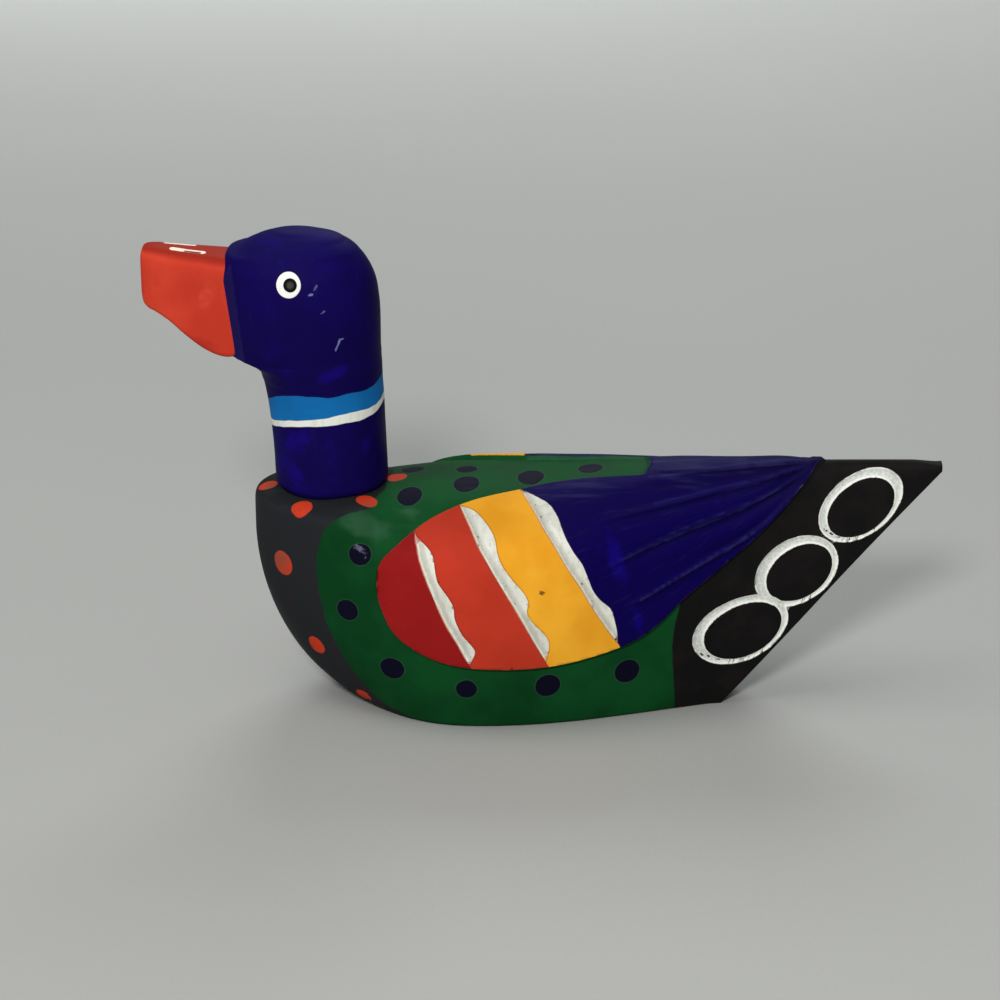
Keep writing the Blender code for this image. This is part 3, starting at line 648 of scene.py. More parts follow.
def makeBody():
    f = bodyForm
    stations = bodyStations()
    points, girth, edge, ends = bodySections(stations)
    rows, columns = girth.shape
    side = f["deckColumns"] + 1 + f["sideColumns"]   # columns above the base's edge
    print("body grid", rows, "x", columns)
    # ways along the skin: down the side, and along the duck at one girth
    down = np.gradient(points, axis=1)
    along = np.gradient(points, axis=0)
    normal = np.cross(down, along)
    normal /= np.maximum(np.linalg.norm(normal, axis=2, keepdims=True), 1e-12)
    stepG = np.gradient(girth, axis=1)
    stepX = np.gradient(stations)[:, None]
    wayG = down / np.maximum(stepG, 1e-9)[..., None]
    slideG = np.gradient(girth, axis=0)
    wayX = (along - wayG * slideG[..., None]) / stepX[..., None]
    # points near a carved edge are moved onto it
    flat = np.stack([np.repeat(stations[:, None], columns, 1) * 1000, girth * 1000], axis=-1).reshape(-1, 2)
    moved = flat.copy()
    best = np.full(len(flat), 0.36)
    lines = [(splined(wingLook["outline"], 4, True), True)]
    for cut, wave in zip(wingLook["cuts"], wingLook["waves"]):
        lines += [(np.array(cut), False), (splined(wave, 4), False)]
    lines += [(splined(line, 4), False) for line in wingLook["laps"]]
    for outer, inner in tailRings["rims"]:
        lines += [(ovalLine(outer), True), (ovalLine(inner), True)]
    for line, closed in lines:
        gap, foot = nearLine(flat, line, closed, 1.0)
        take = gap < best
        best[take] = gap[take]
        moved[take] = foot[take]
    shift = (moved - flat).reshape(rows, columns, 2)
    keep = np.ones((rows, columns), bool)
    keep[:, 0] = keep[:, side - 1:] = False
    keep[-1] = False
    keep[stations < f["wingStartX"]] = False
    keep &= moved[:, 1].reshape(rows, columns) > 0.1
    shift[~keep] = 0
    moved = (flat.reshape(rows, columns, 2) + shift).reshape(-1, 2)
    points = points + (wayX * shift[..., :1] + wayG * shift[..., 1:]) * 0.001
    endGirth = np.repeat(ends[:, None] * 1000, columns, 1).reshape(-1)
    height, traits = carvedHeight(moved, endGirth)
    # slight unevenness left by the knife: three crossing waves
    x, g = moved[:, 0], moved[:, 1]
    uneven = np.sin(x / 3.1 + g / 7.3 + 1.0) + np.sin(x / 5.3 - g / 4.1 + 2.0)
    uneven = uneven + 0.7 * np.sin(x / 9.7 + g / 3.3)
    calm = smooth(g, 0, 5) * smooth(endGirth - g, 0, 4) * smooth(x, -70, -60)
    height = height + f["wobble"] * uneven / 2.7 * calm
    height = height * smooth(endGirth - g, 0.0, 0.8) * smooth(-x, -97.6, -96.5)
    height = height.reshape(rows, columns)
    height[:, side:] = 0
    # the middle of the back and the stem stay on the plane of symmetry
    normal[:, 0, 1] = 0
    normal[0, :, 1] = 0
    normal /= np.maximum(np.linalg.norm(normal, axis=2, keepdims=True), 1e-12)
    near = points + normal * (height * 0.001)[..., None]
    near[:, 0, 1] = 0
    near[0, :, 1] = 0
    near[0, :, 0] = f["bowX"]
    near[-1, :, 0] = f["tailX"]
    far = near * np.array([1, -1, 1])
    # paint that isn't carved
    chest = splined(paintLines["chest"], 4)
    region = np.vstack([chest, [(300, 95), (300, -2)]])
    traits["green"] = depthInside(moved, region, 8.0)[0]
    tail = splined(paintLines["tail"], 4)
    traits["tail"] = x - np.interp(g, tail[:, 1], tail[:, 0])
    traits["deckRim"] = np.abs(g - np.repeat(edge[:, None] * 1000, columns, 1).reshape(-1))
    traits["baseRim"] = endGirth - g
    under = np.zeros((rows, columns))
    under[:, side:] = near[:, side:, 2] < 0.0003   # not where the skin turns under at the stem
    traits["under"] = under.reshape(-1)
    # along and across the folded feathers, which run to a point near the tail
    traits["fanTurn"] = np.degrees(np.arctan2(g + 1, np.maximum(70.5 - x, 0.5)))
    traits["fanRun"] = np.hypot(g + 1, 70.5 - x)
    for key in ("bright", "speck", "rubbed", "scuff", "flecks"):
        traits[key] = blobs(x, g, wornMarks[key])
    pale = np.full(len(x), -5.0)
    for line, breadth in wornMarks["lines"]:
        pale = np.maximum(pale, breadth - nearLine(moved, splined(line, 4), False, 5.0)[0])
    traits["pale"] = pale
    both = {}
    nearSkin, farSkin = near.reshape(-1, 3) * 1000, far.reshape(-1, 3) * 1000
    for key, values in traits.items():
        both[key] = np.concatenate([values, values])
    # on the far side the green comes a little over the wing's upper front edge
    over = 1.8 * smooth(x, -36.0, -32.0) * smooth(-x, 19.5, 21.5) * smooth(-g, -34.0, -28.0)
    both["wing"] = np.concatenate([traits["wing"], traits["wing"] - over])
    flat = moved

    def skinPoint(px, pg):
        k = np.argmin((flat[:, 0] - px) ** 2 + (flat[:, 1] - abs(pg)) ** 2)
        return nearSkin[k] if pg >= 0 else farSkin[k]

    skin = np.concatenate([nearSkin, farSkin])
    dots = [(skinPoint(px, pg), d, 1.0) for px, pg, d in paintLines["flankDots"]]
    dots += [(c * np.array([1, -1, 1]), d, k) for c, d, k in dots]
    dots += [(skinPoint(px, pg), d, k) for px, pg, d, k in paintLines["deckDots"] + paintLines["farDeckDots"]]
    spots = [(np.array(s[:3]), s[3], 1.0) for s in paintLines["breastSpots"]]
    spots += [(c * np.array([1, -1, 1]), d, k) for c, d, k in spots]
    spots += [(np.array(s[:3]), s[3], 1.0) for s in paintLines["deckSpots"]]
    for key, group in (("dot", dots), ("spot", spots)):
        depth = np.full(len(skin), -20.0)
        for centre, diameter, across in group:
            away = np.linalg.norm((skin - centre) / np.array([1, across, 1]), axis=1)
            depth = np.maximum(depth, diameter / 2 - away)
        both[key] = depth
    # faces: near side, far side the other way round, and the tail's end
    index = np.arange(rows * columns).reshape(rows, columns)
    flatHeight = height.reshape(-1)
    nearFaces = quadsToTriangles(index, flatHeight)
    farFaces = nearFaces[:, ::-1] + rows * columns
    n, m = index[-1], index[-1] + rows * columns
    cap = np.concatenate([np.stack([n[:-1], n[1:], m[1:]], -1), np.stack([n[:-1], m[1:], m[:-1]], -1)])
    faces = np.concatenate([nearFaces, farFaces, cap])
    skin = np.concatenate([near.reshape(-1, 3), far.reshape(-1, 3)])
    piece = meshPiece("carvedBody", skin, faces, both)
    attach(piece, "root")
    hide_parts("body")
    return piece


sheen = {"level": 0.02, "rough": (0.46, 0.60), "grain": 0.00004, "coat": 0.00006}   # matt poster paint
bodyPaint = {   # screen values, 0 to 255
    "green": tint(16, 72, 34), "greenLight": tint(34, 78, 50), "greenDark": tint(11, 57, 27),
    "grey": tint(36, 38, 41), "greyWarm": tint(54, 36, 34), "black": tint(22, 21, 21),
    "blackWarm": tint(31, 28, 27), "darkRed": tint(148, 27, 27), "red": tint(193, 58, 39),
    "yellow": tint(247, 177, 49), "yellowDeep": tint(230, 156, 34), "navy": tint(13, 4, 72),
    "ultramarine": tint(22, 8, 130), "navyWorn": tint(38, 34, 84), "white": tint(238, 240, 232),
    "whiteDull": tint(196, 200, 194), "dot": tint(14, 13, 30), "dotWorn": tint(44, 46, 64),
    "orange": tint(192, 58, 34), "orangeWorn": tint(150, 70, 52), "wood": tint(150, 112, 74),
    "woodDark": tint(104, 72, 46), "greenRubbed": tint(46, 86, 58), "greyShade": tint(24, 26, 28),
    "greyRubbed": tint(66, 68, 68), "dotHalo": tint(96, 110, 104), "scuff": tint(104, 108, 128),
    "redDeep": tint(180, 52, 34), "darkRedDeep": tint(134, 22, 24), "navyGrooveShade": tint(6, 2, 34),
    "navyAft": tint(9, 7, 40), "navyRidgeHighlight": tint(48, 44, 112), "navyTopWearAndSheen": tint(56, 54, 98),
    "scallop": tint(226, 227, 216), "scallopDull": tint(182, 182, 164), "scallopShade": tint(150, 149, 134),
    "scallopSpeck": tint(90, 88, 76), "scallopEdgeShadow": tint(60, 30, 20), "speck": tint(70, 46, 30),
    "wingTopShade": tint(18, 12, 14), "paleGreen": tint(70, 108, 84), "paleNavy": tint(66, 66, 120),
    "bareRimAndHighlight": tint(226, 180, 150), "baseEdgeDark": tint(20, 18, 16),
}


def bodyFinish():
    c = bodyPaint
    s = Sheet("bodyPaint")
    wing, lobe, ring = s.trait("wing"), s.trait("lobe"), s.trait("ring")
    cuts = [s.trait("cut%d" % number).past(0.0, 0.1) for number in range(3)]
    fanTurn, fanRun = s.trait("fanTurn"), s.trait("fanRun")
    height, alongX = s.part("Z"), s.part("X")
    wave = s.noise(260.0, 2.0) - 0.5
    fine = s.noise(1400.0, 2.0) - 0.5
    broad = s.noise(55.0, 3.0, 0.55)
    patch = s.noise(110.0, 3.0, 0.6, shift=(3.1, 0.7, 1.9))
    speck = s.noise(1900.0, 1.0, shift=(0.3, 2.2, 1.1))
    scratch = s.noise(300.0, 3.0, 0.6, stretch=(0.16, 1.0, 1.6))
    onTop = s.trait("upward").spread(0.45, 0.9)
    # ground colours
    green = s.blend(broad.spread(0.35, 0.7), c["greenDark"], c["green"])
    # lighter where it faces up: scratched wear on top, and under it a painted sheen of 0.06 on every upward
    # face
    rubbed = (onTop * scratch.spread(0.45, 0.75) * 0.30).higher(onTop * 0.06)
    green = s.blend(rubbed, green, c["greenLight"])
    green = s.blend((s.trait("rubbed") + wave * 4.0).past(1.0, 3.2) * 0.75, green, c["greenRubbed"])
    grey = s.blend(patch.spread(0.5, 0.78) * height.spread(0.012, 0.034, 0.75, 0.2), c["grey"], c["greyWarm"])
    grey = s.blend(onTop * 0.45, grey, c["greyShade"])
    grey = s.blend(onTop * scratch.spread(0.5, 0.75) * 0.16, grey, c["greyRubbed"])
    black = s.blend(patch.spread(0.4, 0.75) * 0.7, c["black"], c["blackWarm"])
    greenEdge = s.trait("green") + wave * 0.9 + onTop * (broad - 0.5) * 5.0
    ground = s.blend(greenEdge.past(0.0, 0.35), grey, green)
    ground = s.blend((s.trait("tail") + wave * 0.5).past(0.0, 0.25), ground, black)
    ground = s.blend(alongX.past(0.0655, 0.001), ground, black)
    # dots with a faint pale ring, rubbed on top, and the same painted sheen on upward faces
    dot = s.trait("dot") + wave * 0.5
    dotTone = s.blend(rubbed + patch.spread(0.62, 0.75) * 0.35, c["dot"], c["dotWorn"])
    ground = s.blend(dot.past(-0.20, 0.3) * 0.14, ground, c["dotHalo"])
    dotTone = s.blend((s.trait("scuff") + wave * 1.6 + fine * 1.2).past(0.1, 0.5) * 0.7, dotTone, c["scuff"])
    ground = s.blend(dot.past(0.0, 0.22), ground, dotTone)
    spot = s.trait("spot") + wave * 0.8
    ground = s.blend(spot.past(0.0, 0.25) * patch.spread(0.30, 0.42, 0.55, 1.0), ground,
                     s.blend(patch.spread(0.5, 0.7), c["orange"], c["orangeWorn"]))
    # rings: white, with a painted shade in patches along the middle of each groove
    ringGrooveShade = ring.spread(0.25, 0.7) * fine.spread(-0.25, 0.2, 0.35, 1.0)
    ringTone = s.blend(ringGrooveShade, c["white"], c["whiteDull"])
    flecks = (s.trait("flecks") + fine * 0.35).past(0.0, 0.1)
    ringMask = (ring + wave * 0.3 + fine * 0.2).past(0.05, 0.16) * (1 - flecks)
    ground = s.blend(ringMask, ground, ringTone)
    # wing
    redTone = s.blend(broad.spread(0.3, 0.7), c["redDeep"], c["red"])
    darkRed = s.blend(broad.spread(0.3, 0.7), c["darkRedDeep"], c["darkRed"])
    yellow = s.blend(broad.spread(0.3, 0.7), c["yellowDeep"], c["yellow"])
    fanAt = s.add("ShaderNodeCombineXYZ", {}, {"X": fanTurn * 0.55, "Y": fanRun * 0.035}, "Vector")
    streak = s.noise(2.4, 4.0, 0.6, where=fanAt)
    navy = s.blend(patch.spread(0.62, 0.85) * 0.5, c["navy"], c["ultramarine"])
    navy = s.blend((s.trait("bright") + wave * 2.4 + fine * 0.8).past(0.5, 2.2) * 0.6, navy, c["ultramarine"])
    navy = s.blend(fanRun.spread(30.0, 6.0) * 0.4, navy, c["navyAft"])
    # painted shade darkening the grooves of the folded feathers
    navy = s.blend(s.trait("groove") * 0.75, navy, c["navyGrooveShade"])
    # painted highlight along the ridges between the folded feathers
    navy = s.blend(s.trait("ridge") * streak.spread(0.3, 0.6, 0.15, 0.5), navy, c["navyRidgeHighlight"])
    navy = s.blend(streak.spread(0.56, 0.76) * 0.35, navy, c["navyWorn"])
    navy = s.blend(onTop * scratch.spread(0.5, 0.75) * 0.35, navy, c["navyTopWearAndSheen"])
    wingTone = s.blend(cuts[0], darkRed, redTone)
    wingTone = s.blend(cuts[1], wingTone, yellow)
    wingTone = s.blend(cuts[2], wingTone, navy)
    # scallops: pale grey, with a painted shade in a strip beside the straight side that leaves a light rim at
    # the cut
    mottle = s.noise(700.0, 3.0, 0.6, stretch=(1.0, 1.0, 0.35)).spread(0.4, 0.7)
    white = s.blend(mottle * 0.4, c["scallop"], c["scallopDull"])
    for number in range(3):
        past = s.trait("cut%d" % number) + wave * 0.3
        white = s.blend(past.spread(0.25, 0.6) * past.spread(2.2, 0.9) * 0.45, white, c["scallopShade"])
    white = s.blend(speck.past(0.73, 0.03) * 0.7, white, c["scallopSpeck"])
    wingTone = s.blend(lobe.past(0.0, 0.14), wingTone, white)
    # a thin dark line just outside the scallops' edges: a painted shadow
    wingTone = s.blend((lobe + 0.28).past(0.0, 0.1) * (1 - lobe.past(0.0, 0.1)) * cuts[0] * 0.35, wingTone,
                       c["scallopEdgeShadow"])
    wingTone = s.blend((s.trait("speck") + fine * 0.4).past(0.05, 0.15) * 0.8, wingTone, c["speck"])
    # the wing's upward faces painted darker: a painted shade on its tops
    wingTone = s.blend(s.trait("upward").spread(0.25, 0.8) * 0.22, wingTone, c["wingTopShade"])
    colour = s.blend((wing + fine * 0.1).past(-0.16, 0.14), ground, wingTone)
    pale = (s.trait("pale") + wave * 0.5).past(0.0, 0.4) * patch.spread(0.35, 0.6, 0.25, 1.0)
    colour = s.blend(pale * 0.22, colour, s.blend(wing.past(0.0, 0.1), c["paleGreen"], c["paleNavy"]))
    # worn rims: lighter edges, partly bare wood where the paint is worn and partly a painted highlight
    rim = s.trait("rim") * wing.past(-0.1, 0.1)
    colour = s.blend(rim.past(0.72, 0.3) * patch.spread(0.35, 0.6) * 0.45, colour, c["bareRimAndHighlight"])
    # darker in patches along the base's edge
    base = 1 - s.trait("baseRim").spread(0.1, 0.9)
    colour = s.blend(base * patch.spread(0.35, 0.6) * 0.6, colour, c["baseEdgeDark"])
    # bare wood on the underside, grain along the duck
    grain = s.noise(120.0, 4.0, 0.6, stretch=(0.12, 1.0, 1.0)).spread(0.3, 0.7)
    wood = s.blend(grain, c["woodDark"], c["wood"])
    colour = s.blend(s.trait("under") * alongX.past(0.0455, 0.001).spread(1.0, 0.0), colour, wood)
    rough = broad.spread(0.3, 0.7, *sheen["rough"])
    normal = s.bump(fine, sheen["grain"], 0.6)
    normal = s.bump(streak * wing.past(0.2, 0.2) * cuts[2], 0.00012, 0.7, normal)
    thick = lobe.spread(-0.1, 0.15) + dot.spread(-0.1, 0.2) + spot.spread(-0.1, 0.2) + ringMask
    normal = s.bump(thick, sheen["coat"], 0.7, normal)
    return s.finish({"Base Color": colour, "Roughness": rough, "Specular IOR Level": sheen["level"],
                     "Normal": normal})


headForm = {
    "baseZ": 0.0563, "seatGap": 0.00015,
    # height, front x, back x, half width, in mm
    "levels": ((0.0, -66.6, -40.1, 13.4), (1.2, -67.3, -39.4, 14.0), (8.0, -67.6, -39.6, 14.0),
               (16.0, -68.2, -39.9, 14.0), (22.0, -68.9, -40.1, 14.1), (27.5, -70.0, -40.4, 14.3),
               (31.0, -71.2, -40.5, 14.7), (33.0, -74.2, -40.6, 14.9), (33.9, -76.6, -40.6, 15.0),
               (35.5, -77.8, -40.7, 15.2), (42.0, -78.3, -40.7, 15.5), (48.0, -78.6, -41.0, 15.6),
               (53.0, -78.5, -41.9, 15.2), (56.5, -78.3, -43.5, 14.2), (59.2, -77.9, -45.4, 12.4),
               (60.0, -75.7, -46.1, 11.7), (61.9, -72.2, -48.6, 8.9), (63.6, -68.4, -52.2, 5.5),
               (64.5, -64.6, -57.4, 2.8)),
    "top": (64.9, -61.0), "blunt": 3.6, "facet": (-78.3, 7.6, 0.88, 2.8), "facetDrift": 0.11,
    "rows": 210, "around": 220,
    # beak: x, half width, underside z, top z, in mm
    "beak": ((-72.0, 8.8, 91.6, 113.7), (-78.0, 7.6, 89.9, 114.8), (-83.0, 6.9, 91.4, 115.3),
             (-88.0, 6.2, 94.8, 115.8), (-92.5, 5.4, 98.5, 116.3), (-95.6, 4.8, 100.4, 116.6),
             (-97.6, 4.2, 101.4, 116.5), (-98.5, 3.5, 102.5, 116.0), (-98.9, 2.7, 104.2, 114.8)),
    "beakRows": 110, "beakAround": 96,
}
headMarks = {
    # collar: place along the neck from front to back, -1 to 1, and height in mm
    "blueTop": ((-1.05, 78.2), (-0.96, 79.0), (-0.80, 80.9), (-0.65, 81.8), (-0.40, 82.6), (-0.14, 82.6),
                (0.12, 82.3),
                (0.37, 82.8), (0.56, 83.0), (0.76, 82.9), (0.88, 83.3), (0.96, 84.3), (1.05, 85.6)),
    "blueLow": ((-1.05, 72.6), (-0.95, 73.3), (-0.79, 74.4), (-0.56, 75.6), (-0.32, 76.2), (-0.08, 76.7),
                (0.17, 77.3),
                (0.49, 78.1), (0.76, 78.1), (0.90, 78.2), (0.97, 79.1), (1.05, 80.4)),
    "whiteLow": ((-1.05, 70.6), (-0.92, 71.8), (-0.76, 73.0), (-0.49, 74.1), (-0.22, 74.7), (0.11, 75.1),
                 (0.42, 75.6),
                 (0.67, 75.6), (0.85, 76.1), (0.93, 76.7), (0.99, 77.6), (1.05, 78.8)),
    "eye": (-61.3, 110.95, 2.95, 1.66, 0.40),   # x, z, radius, pupil radius, pupil's shift aft
    # chips on the near side: x, z, half length, half breadth, tilt, strength
    "chips": ((-55.9, 108.7, 0.55, 0.30, 15.0, 0.75), (-54.9, 110.3, 0.75, 0.30, 55.0, 0.35),
              (-53.1, 104.3, 0.70, 0.20, 35.0, 0.45), (-49.6, 96.4, 0.75, 0.22, 75.0, 0.8),
              (-49.0, 97.0, 0.45, 0.20, 20.0, 0.7), (-50.2, 94.9, 0.8, 0.20, 70.0, 0.7)),
    # bright worn patches on the neck: x, z, half length, half breadth, tilt
    "worn": ((-61.8, 70.3, 2.6, 1.6, 70.0), (-58.7, 72.0, 2.0, 1.2, 80.0), (-52.6, 87.7, 2.6, 1.2, 10.0),
             (-49.4, 89.0, 1.8, 1.2, 20.0), (-43.8, 68.4, 1.2, 2.2, 0.0), (-64.5, 64.0, 1.2, 2.6, 0.0)),
    # nostrils: line, half breadth, line of the slit, half breadth of the slit
    "nostrils": ((((-90.8, -2.2), (-83.6, -2.7)), 0.90, ((-87.8, -2.45), (-84.2, -2.7)), 0.42),
                 (((-93.0, 1.9), (-86.6, 2.5)), 0.78, ((-90.4, 2.2), (-87.2, 2.5)), 0.34)),
}


def eased(table, at):
    # smooth curve through a table's rows: cubic spans whose slopes are those of the parabola through three
    # rows, held to zero where the rows turn
    table = np.asarray(table, float)
    t, v = table[:, 0], table[:, 1:]
    step = np.diff(t)[:, None]
    rise = np.diff(v, axis=0) / step
    inner = (rise[:-1] * step[1:] + rise[1:] * step[:-1]) / (step[:-1] + step[1:])
    inner = np.where(rise[:-1] * rise[1:] <= 0, 0, inner)
    limit = 3 * np.minimum(np.abs(rise[:-1]), np.abs(rise[1:]))
    inner = np.clip(inner, -limit, limit)
    slope = np.vstack([rise[:1], inner, rise[-1:]])
    k = np.clip(np.searchsorted(t, at, side="right") - 1, 0, len(t) - 2)
    h = (t[k + 1] - t[k])
    u = ((at - t[k]) / h)[:, None]
    h = h[:, None]
    return ((2 * u ** 3 - 3 * u ** 2 + 1) * v[k] + (u ** 3 - 2 * u ** 2 + u) * h * slope[k]
            + (3 * u ** 2 - 2 * u ** 3) * v[k + 1] + (u ** 3 - u ** 2) * h * slope[k + 1])


def headShell():
    f = headForm
    levels = np.array(f["levels"] + ((f["top"][0], f["top"][1] - 0.02, f["top"][1] + 0.02, 0.01),))
    fineH = np.linspace(0, levels[-1, 0], 4000)
    form = eased(levels, fineH)
    # the dome closes as a circle does, so its last levels follow the root of the height left
    halfW = form[:, 2]
    way = np.concatenate([[0], np.cumsum(np.hypot(np.diff(fineH), np.diff(halfW) * 1.3))])
    rowsH = np.interp(np.linspace(0, way[-1], f["rows"]), way, fineH)
    form = eased(levels, rowsH)
    front, back, halfW = form.T
    h = rowsH[:, None]
    z = f["baseZ"] * 1000 + h
    cx, ax = ((front + back) / 2)[:, None], ((back - front) / 2)[:, None]
    turn = np.linspace(0, 2 * math.pi, f["around"], endpoint=False)[None]
    share = np.clip((h - 27.0) / 10.0, 0, 1)
    blunt = 2.0 + (f["blunt"] - 2.0) * share * ((64.6 - h) / 12.0).clip(0, 1)
    c, q = np.cos(turn), np.sin(turn)
    power = np.where(c > 0, 2.0, blunt)
    x = cx + ax * np.sign(c) * np.abs(c) ** (2 / power)
    y = halfW[:, None] * np.sign(q) * np.abs(q) ** (2 / power)
    # the half breadth is held back beside the beak by a slanted line, and behind that by a parabola that
    # reaches full width
    fx, start, slope, length = f["facet"]
    fx = fx + (112.0 - z) * f["facetDrift"]
    narrow = np.minimum(1.0, halfW[:, None] / 14.5)
    side = (start + slope * length) * narrow
    behind = halfW[:, None] - (halfW[:, None] - side) * ((cx - x) / (cx - fx - length)) ** 2
    limit = np.where(x < fx + length, (start + slope * (x - fx)) * narrow, behind)
    limit = limit + (1 - np.clip((h - 29.0) / 4.0, 0, 1)) * 12.0
    held = (h > 29.0) & (x < cx) & (np.abs(y) > limit)
    facet = np.where(held & (x < fx + length), 1.0, 0.0)
    y = np.where(held, np.sign(y) * np.maximum(limit, 0.4), y)
    z = np.broadcast_to(z, x.shape).copy()
    # foot scribed to the deck
    seat = deckTop(x, y)
    foot = np.clip(h / 2.4, 0, 1)
    z = z + (seat - f["baseZ"] * 1000 + f["seatGap"] * 1000) * (1 - foot)
    z = np.maximum(z, seat + f["seatGap"] * 1000)
    shell = np.stack([x, y, z], -1)
    middle = np.array([(levels[0, 1] + levels[0, 2]) / 2, 0.0])
    inner = []
    for grow in (0.85, 0.6, 0.3, 0.0):
        px, py = middle[0] + (x[0] - middle[0]) * grow, y[0] * grow
        inner.append(np.stack([px, py, deckTop(px, py) + f["seatGap"] * 1000], -1))
    crest = np.broadcast_to([f["top"][1], 0.0, f["baseZ"] * 1000 + f["top"][0]], shell[0].shape)
    grid = np.concatenate([np.array(inner[::-1]), shell, crest[None]])
    flat = np.concatenate([np.zeros((4, grid.shape[1])), facet, np.zeros((1, grid.shape[1]))])
    rows, around = grid.shape[:2]
    index = np.arange(rows * around).reshape(rows, around)
    ringed = np.concatenate([index, index[:, :1]], axis=1)
    faces = quadsToTriangles(ringed, np.zeros(rows * around))
    return grid.reshape(-1, 3), faces[:, ::-1], flat.reshape(-1)


def deckTop(x, y):
    # height of the deck at x and y, in mm, from a table of cross sections
    xs = np.linspace(-69.0, -37.0, 65)
    ys = np.linspace(0.0, 17.0, 69)
    share = np.linspace(0, 1, 1600) ** 2.2
    table = []
    for px in xs * 0.001:
        top, low = float(deckHeight(px)), float(keelHeight(px))
        z = top - (top - low) * share
        w = halfBreadth(np.full_like(z, px), z)
        z = domed(px, w, z)
        k = int(np.argmax(w))
        table.append(np.interp(ys * 0.001, w[:k + 1], z[:k + 1]) * 1000)
    table = np.array(table)
    u = np.clip((x - xs[0]) / (xs[1] - xs[0]), 0, len(xs) - 1.001)
    v = np.clip(np.abs(y) / (ys[1] - ys[0]), 0, len(ys) - 1.001)
    i, j = u.astype(int), v.astype(int)
    u, v = u - i, v - j
    return ((1 - u) * (1 - v) * table[i, j] + u * (1 - v) * table[i + 1, j]
            + (1 - u) * v * table[i, j + 1] + u * v * table[i + 1, j + 1])


def beakShell():
    f = headForm
    table = np.array(f["beak"])[::-1]
    way = np.concatenate([[0], np.cumsum(np.hypot(np.diff(table[:, 0]), np.diff(table[:, 1])))])
    xs = eased(np.column_stack([way, table]), np.linspace(0, way[-1], f["beakRows"]))
    # section: half outline from the top's middle round the bevel, down the side and under, as a closed ring
    rings = []
    for x, hw, low, high in xs:
        r, b = min(3.2, hw * 0.6), min(1.6, hw * 0.4)
        side = ((0, high + 0.02), (hw - r * 1.25, high - 0.06), (hw - 0.62 * r, high - 0.16 * r),
                (hw - 0.2 * r, high - 0.52 * r), (hw - 0.05, high - 1.15 * r), (hw, (low + high) / 2),
                (hw - 0.12, low + b * 1.3), (hw - 0.3 * b, low + 0.3 * b), (hw - 1.3 * b, low - 0.1),
                (0, low - 0.4))
        line = splined(side, 8)
        way = np.concatenate([[0], np.cumsum(np.hypot(*np.diff(line, axis=0).T))])
        at = np.linspace(0, way[-1], f["beakAround"] // 2 + 1)
        half = np.stack([np.interp(at, way, line[:, 0]), np.interp(at, way, line[:, 1])], -1)
        half[0, 0] = half[-1, 0] = 0
        ring = np.vstack([half, half[-2:0:-1] * [-1, 1]])
        rings.append(np.column_stack([np.full(len(ring), x), ring]))
    grid = np.array(rings)
    # the front is closed by rings that shrink to its middle
    tipRows = []
    centre = grid[0].mean(axis=0)
    for grow, out in ((0.0, 0.12), (0.5, 0.10), (0.85, 0.05)):
        row = centre + (grid[0] - centre) * grow
        row[:, 0] -= out * 0.5
        tipRows.append(row)
    rear = grid[-1].mean(axis=0)
    grid = np.concatenate([np.array(tipRows), grid, (rear + (grid[-1] - rear) * 0.0)[None]])
    rows, around = grid.shape[:2]
    points = grid.reshape(-1, 3)
    slit = np.full(len(points), -9.0)
    loop = np.full(len(points), -9.0)
    # nostrils: a shallow slit in a painted loop
    for line, breadth, cut, opening in headMarks["nostrils"]:
        high = points[:, 2] > 110
        gap = nearLine(points[:, :2], np.array(line), False, 9.0)[0]
        loop = np.where(high, np.maximum(loop, breadth - gap), loop)
        gap = nearLine(points[:, :2], np.array(cut), False, 9.0)[0]
        slit = np.where(high, np.maximum(slit, opening - gap), slit)
    points[:, 2] -= 0.30 * np.clip(0.5 + slit / 0.5, 0, 1)
    index = np.arange(rows * around).reshape(rows, around)
    ringed = np.concatenate([index, index[:, :1]], axis=1)
    faces = quadsToTriangles(ringed, np.zeros(rows * around))
    return points, faces, loop, slit


def makeHead():
    head, headFaces, facet = headShell()
    beak, beakFaces, loop, slit = beakShell()
    points = np.concatenate([head, beak])
    faces = np.concatenate([headFaces, beakFaces + len(head)])
    x, _, z = points.T
    isBeak = np.concatenate([np.zeros(len(head)), np.ones(len(beak))])
    m = headMarks
    place = (x + 54.4) / 14.3
    line = {key: np.interp(place, *np.array(m[key]).T) for key in ("blueTop", "blueLow", "whiteLow")}
    none = np.full(len(head), -9.0)
    traits = {
        "beak": isBeak, "blue": np.minimum(line["blueTop"] - z, z - line["blueLow"]),
        "white": np.minimum(line["blueLow"] - z, z - line["whiteLow"]), "loop": np.concatenate([none, loop]),
        "slit": np.concatenate([none, slit]), "facet": np.concatenate([facet, np.zeros(len(beak))]),
    }
    piece = meshPiece("carvedHead", points * 0.001, faces, traits)
    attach(piece, "root")
    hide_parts("head_and_neck")
    return piece


headPaint = {   # screen values, 0 to 255
    "navy": tint(18, 8, 80), "navyDark": tint(16, 7, 69), "ultramarine": tint(24, 8, 118),
    "navyWorn": tint(44, 40, 90), "blue": tint(20, 114, 186), "white": tint(230, 232, 222),
    "beak": tint(209, 70, 48), "beakDeep": tint(192, 56, 39), "beakLight": tint(226, 92, 66),
    "pupil": tint(12, 12, 12), "chip": tint(122, 128, 178), "navyTopWearAndSheen": tint(50, 47, 88),
    "cheekFacetHighlight": tint(40, 36, 88), "blueDeep": tint(20, 98, 158), "whiteDull": tint(186, 188, 176),
    "eyeShade": tint(10, 6, 30), "eye": tint(240, 240, 234), "pupilHighlight": tint(66, 64, 58),
    "beakShade": tint(150, 34, 24), "beakTopShade": tint(143, 38, 26), "nostril": tint(244, 226, 208),
    "slit": tint(104, 24, 18),
}


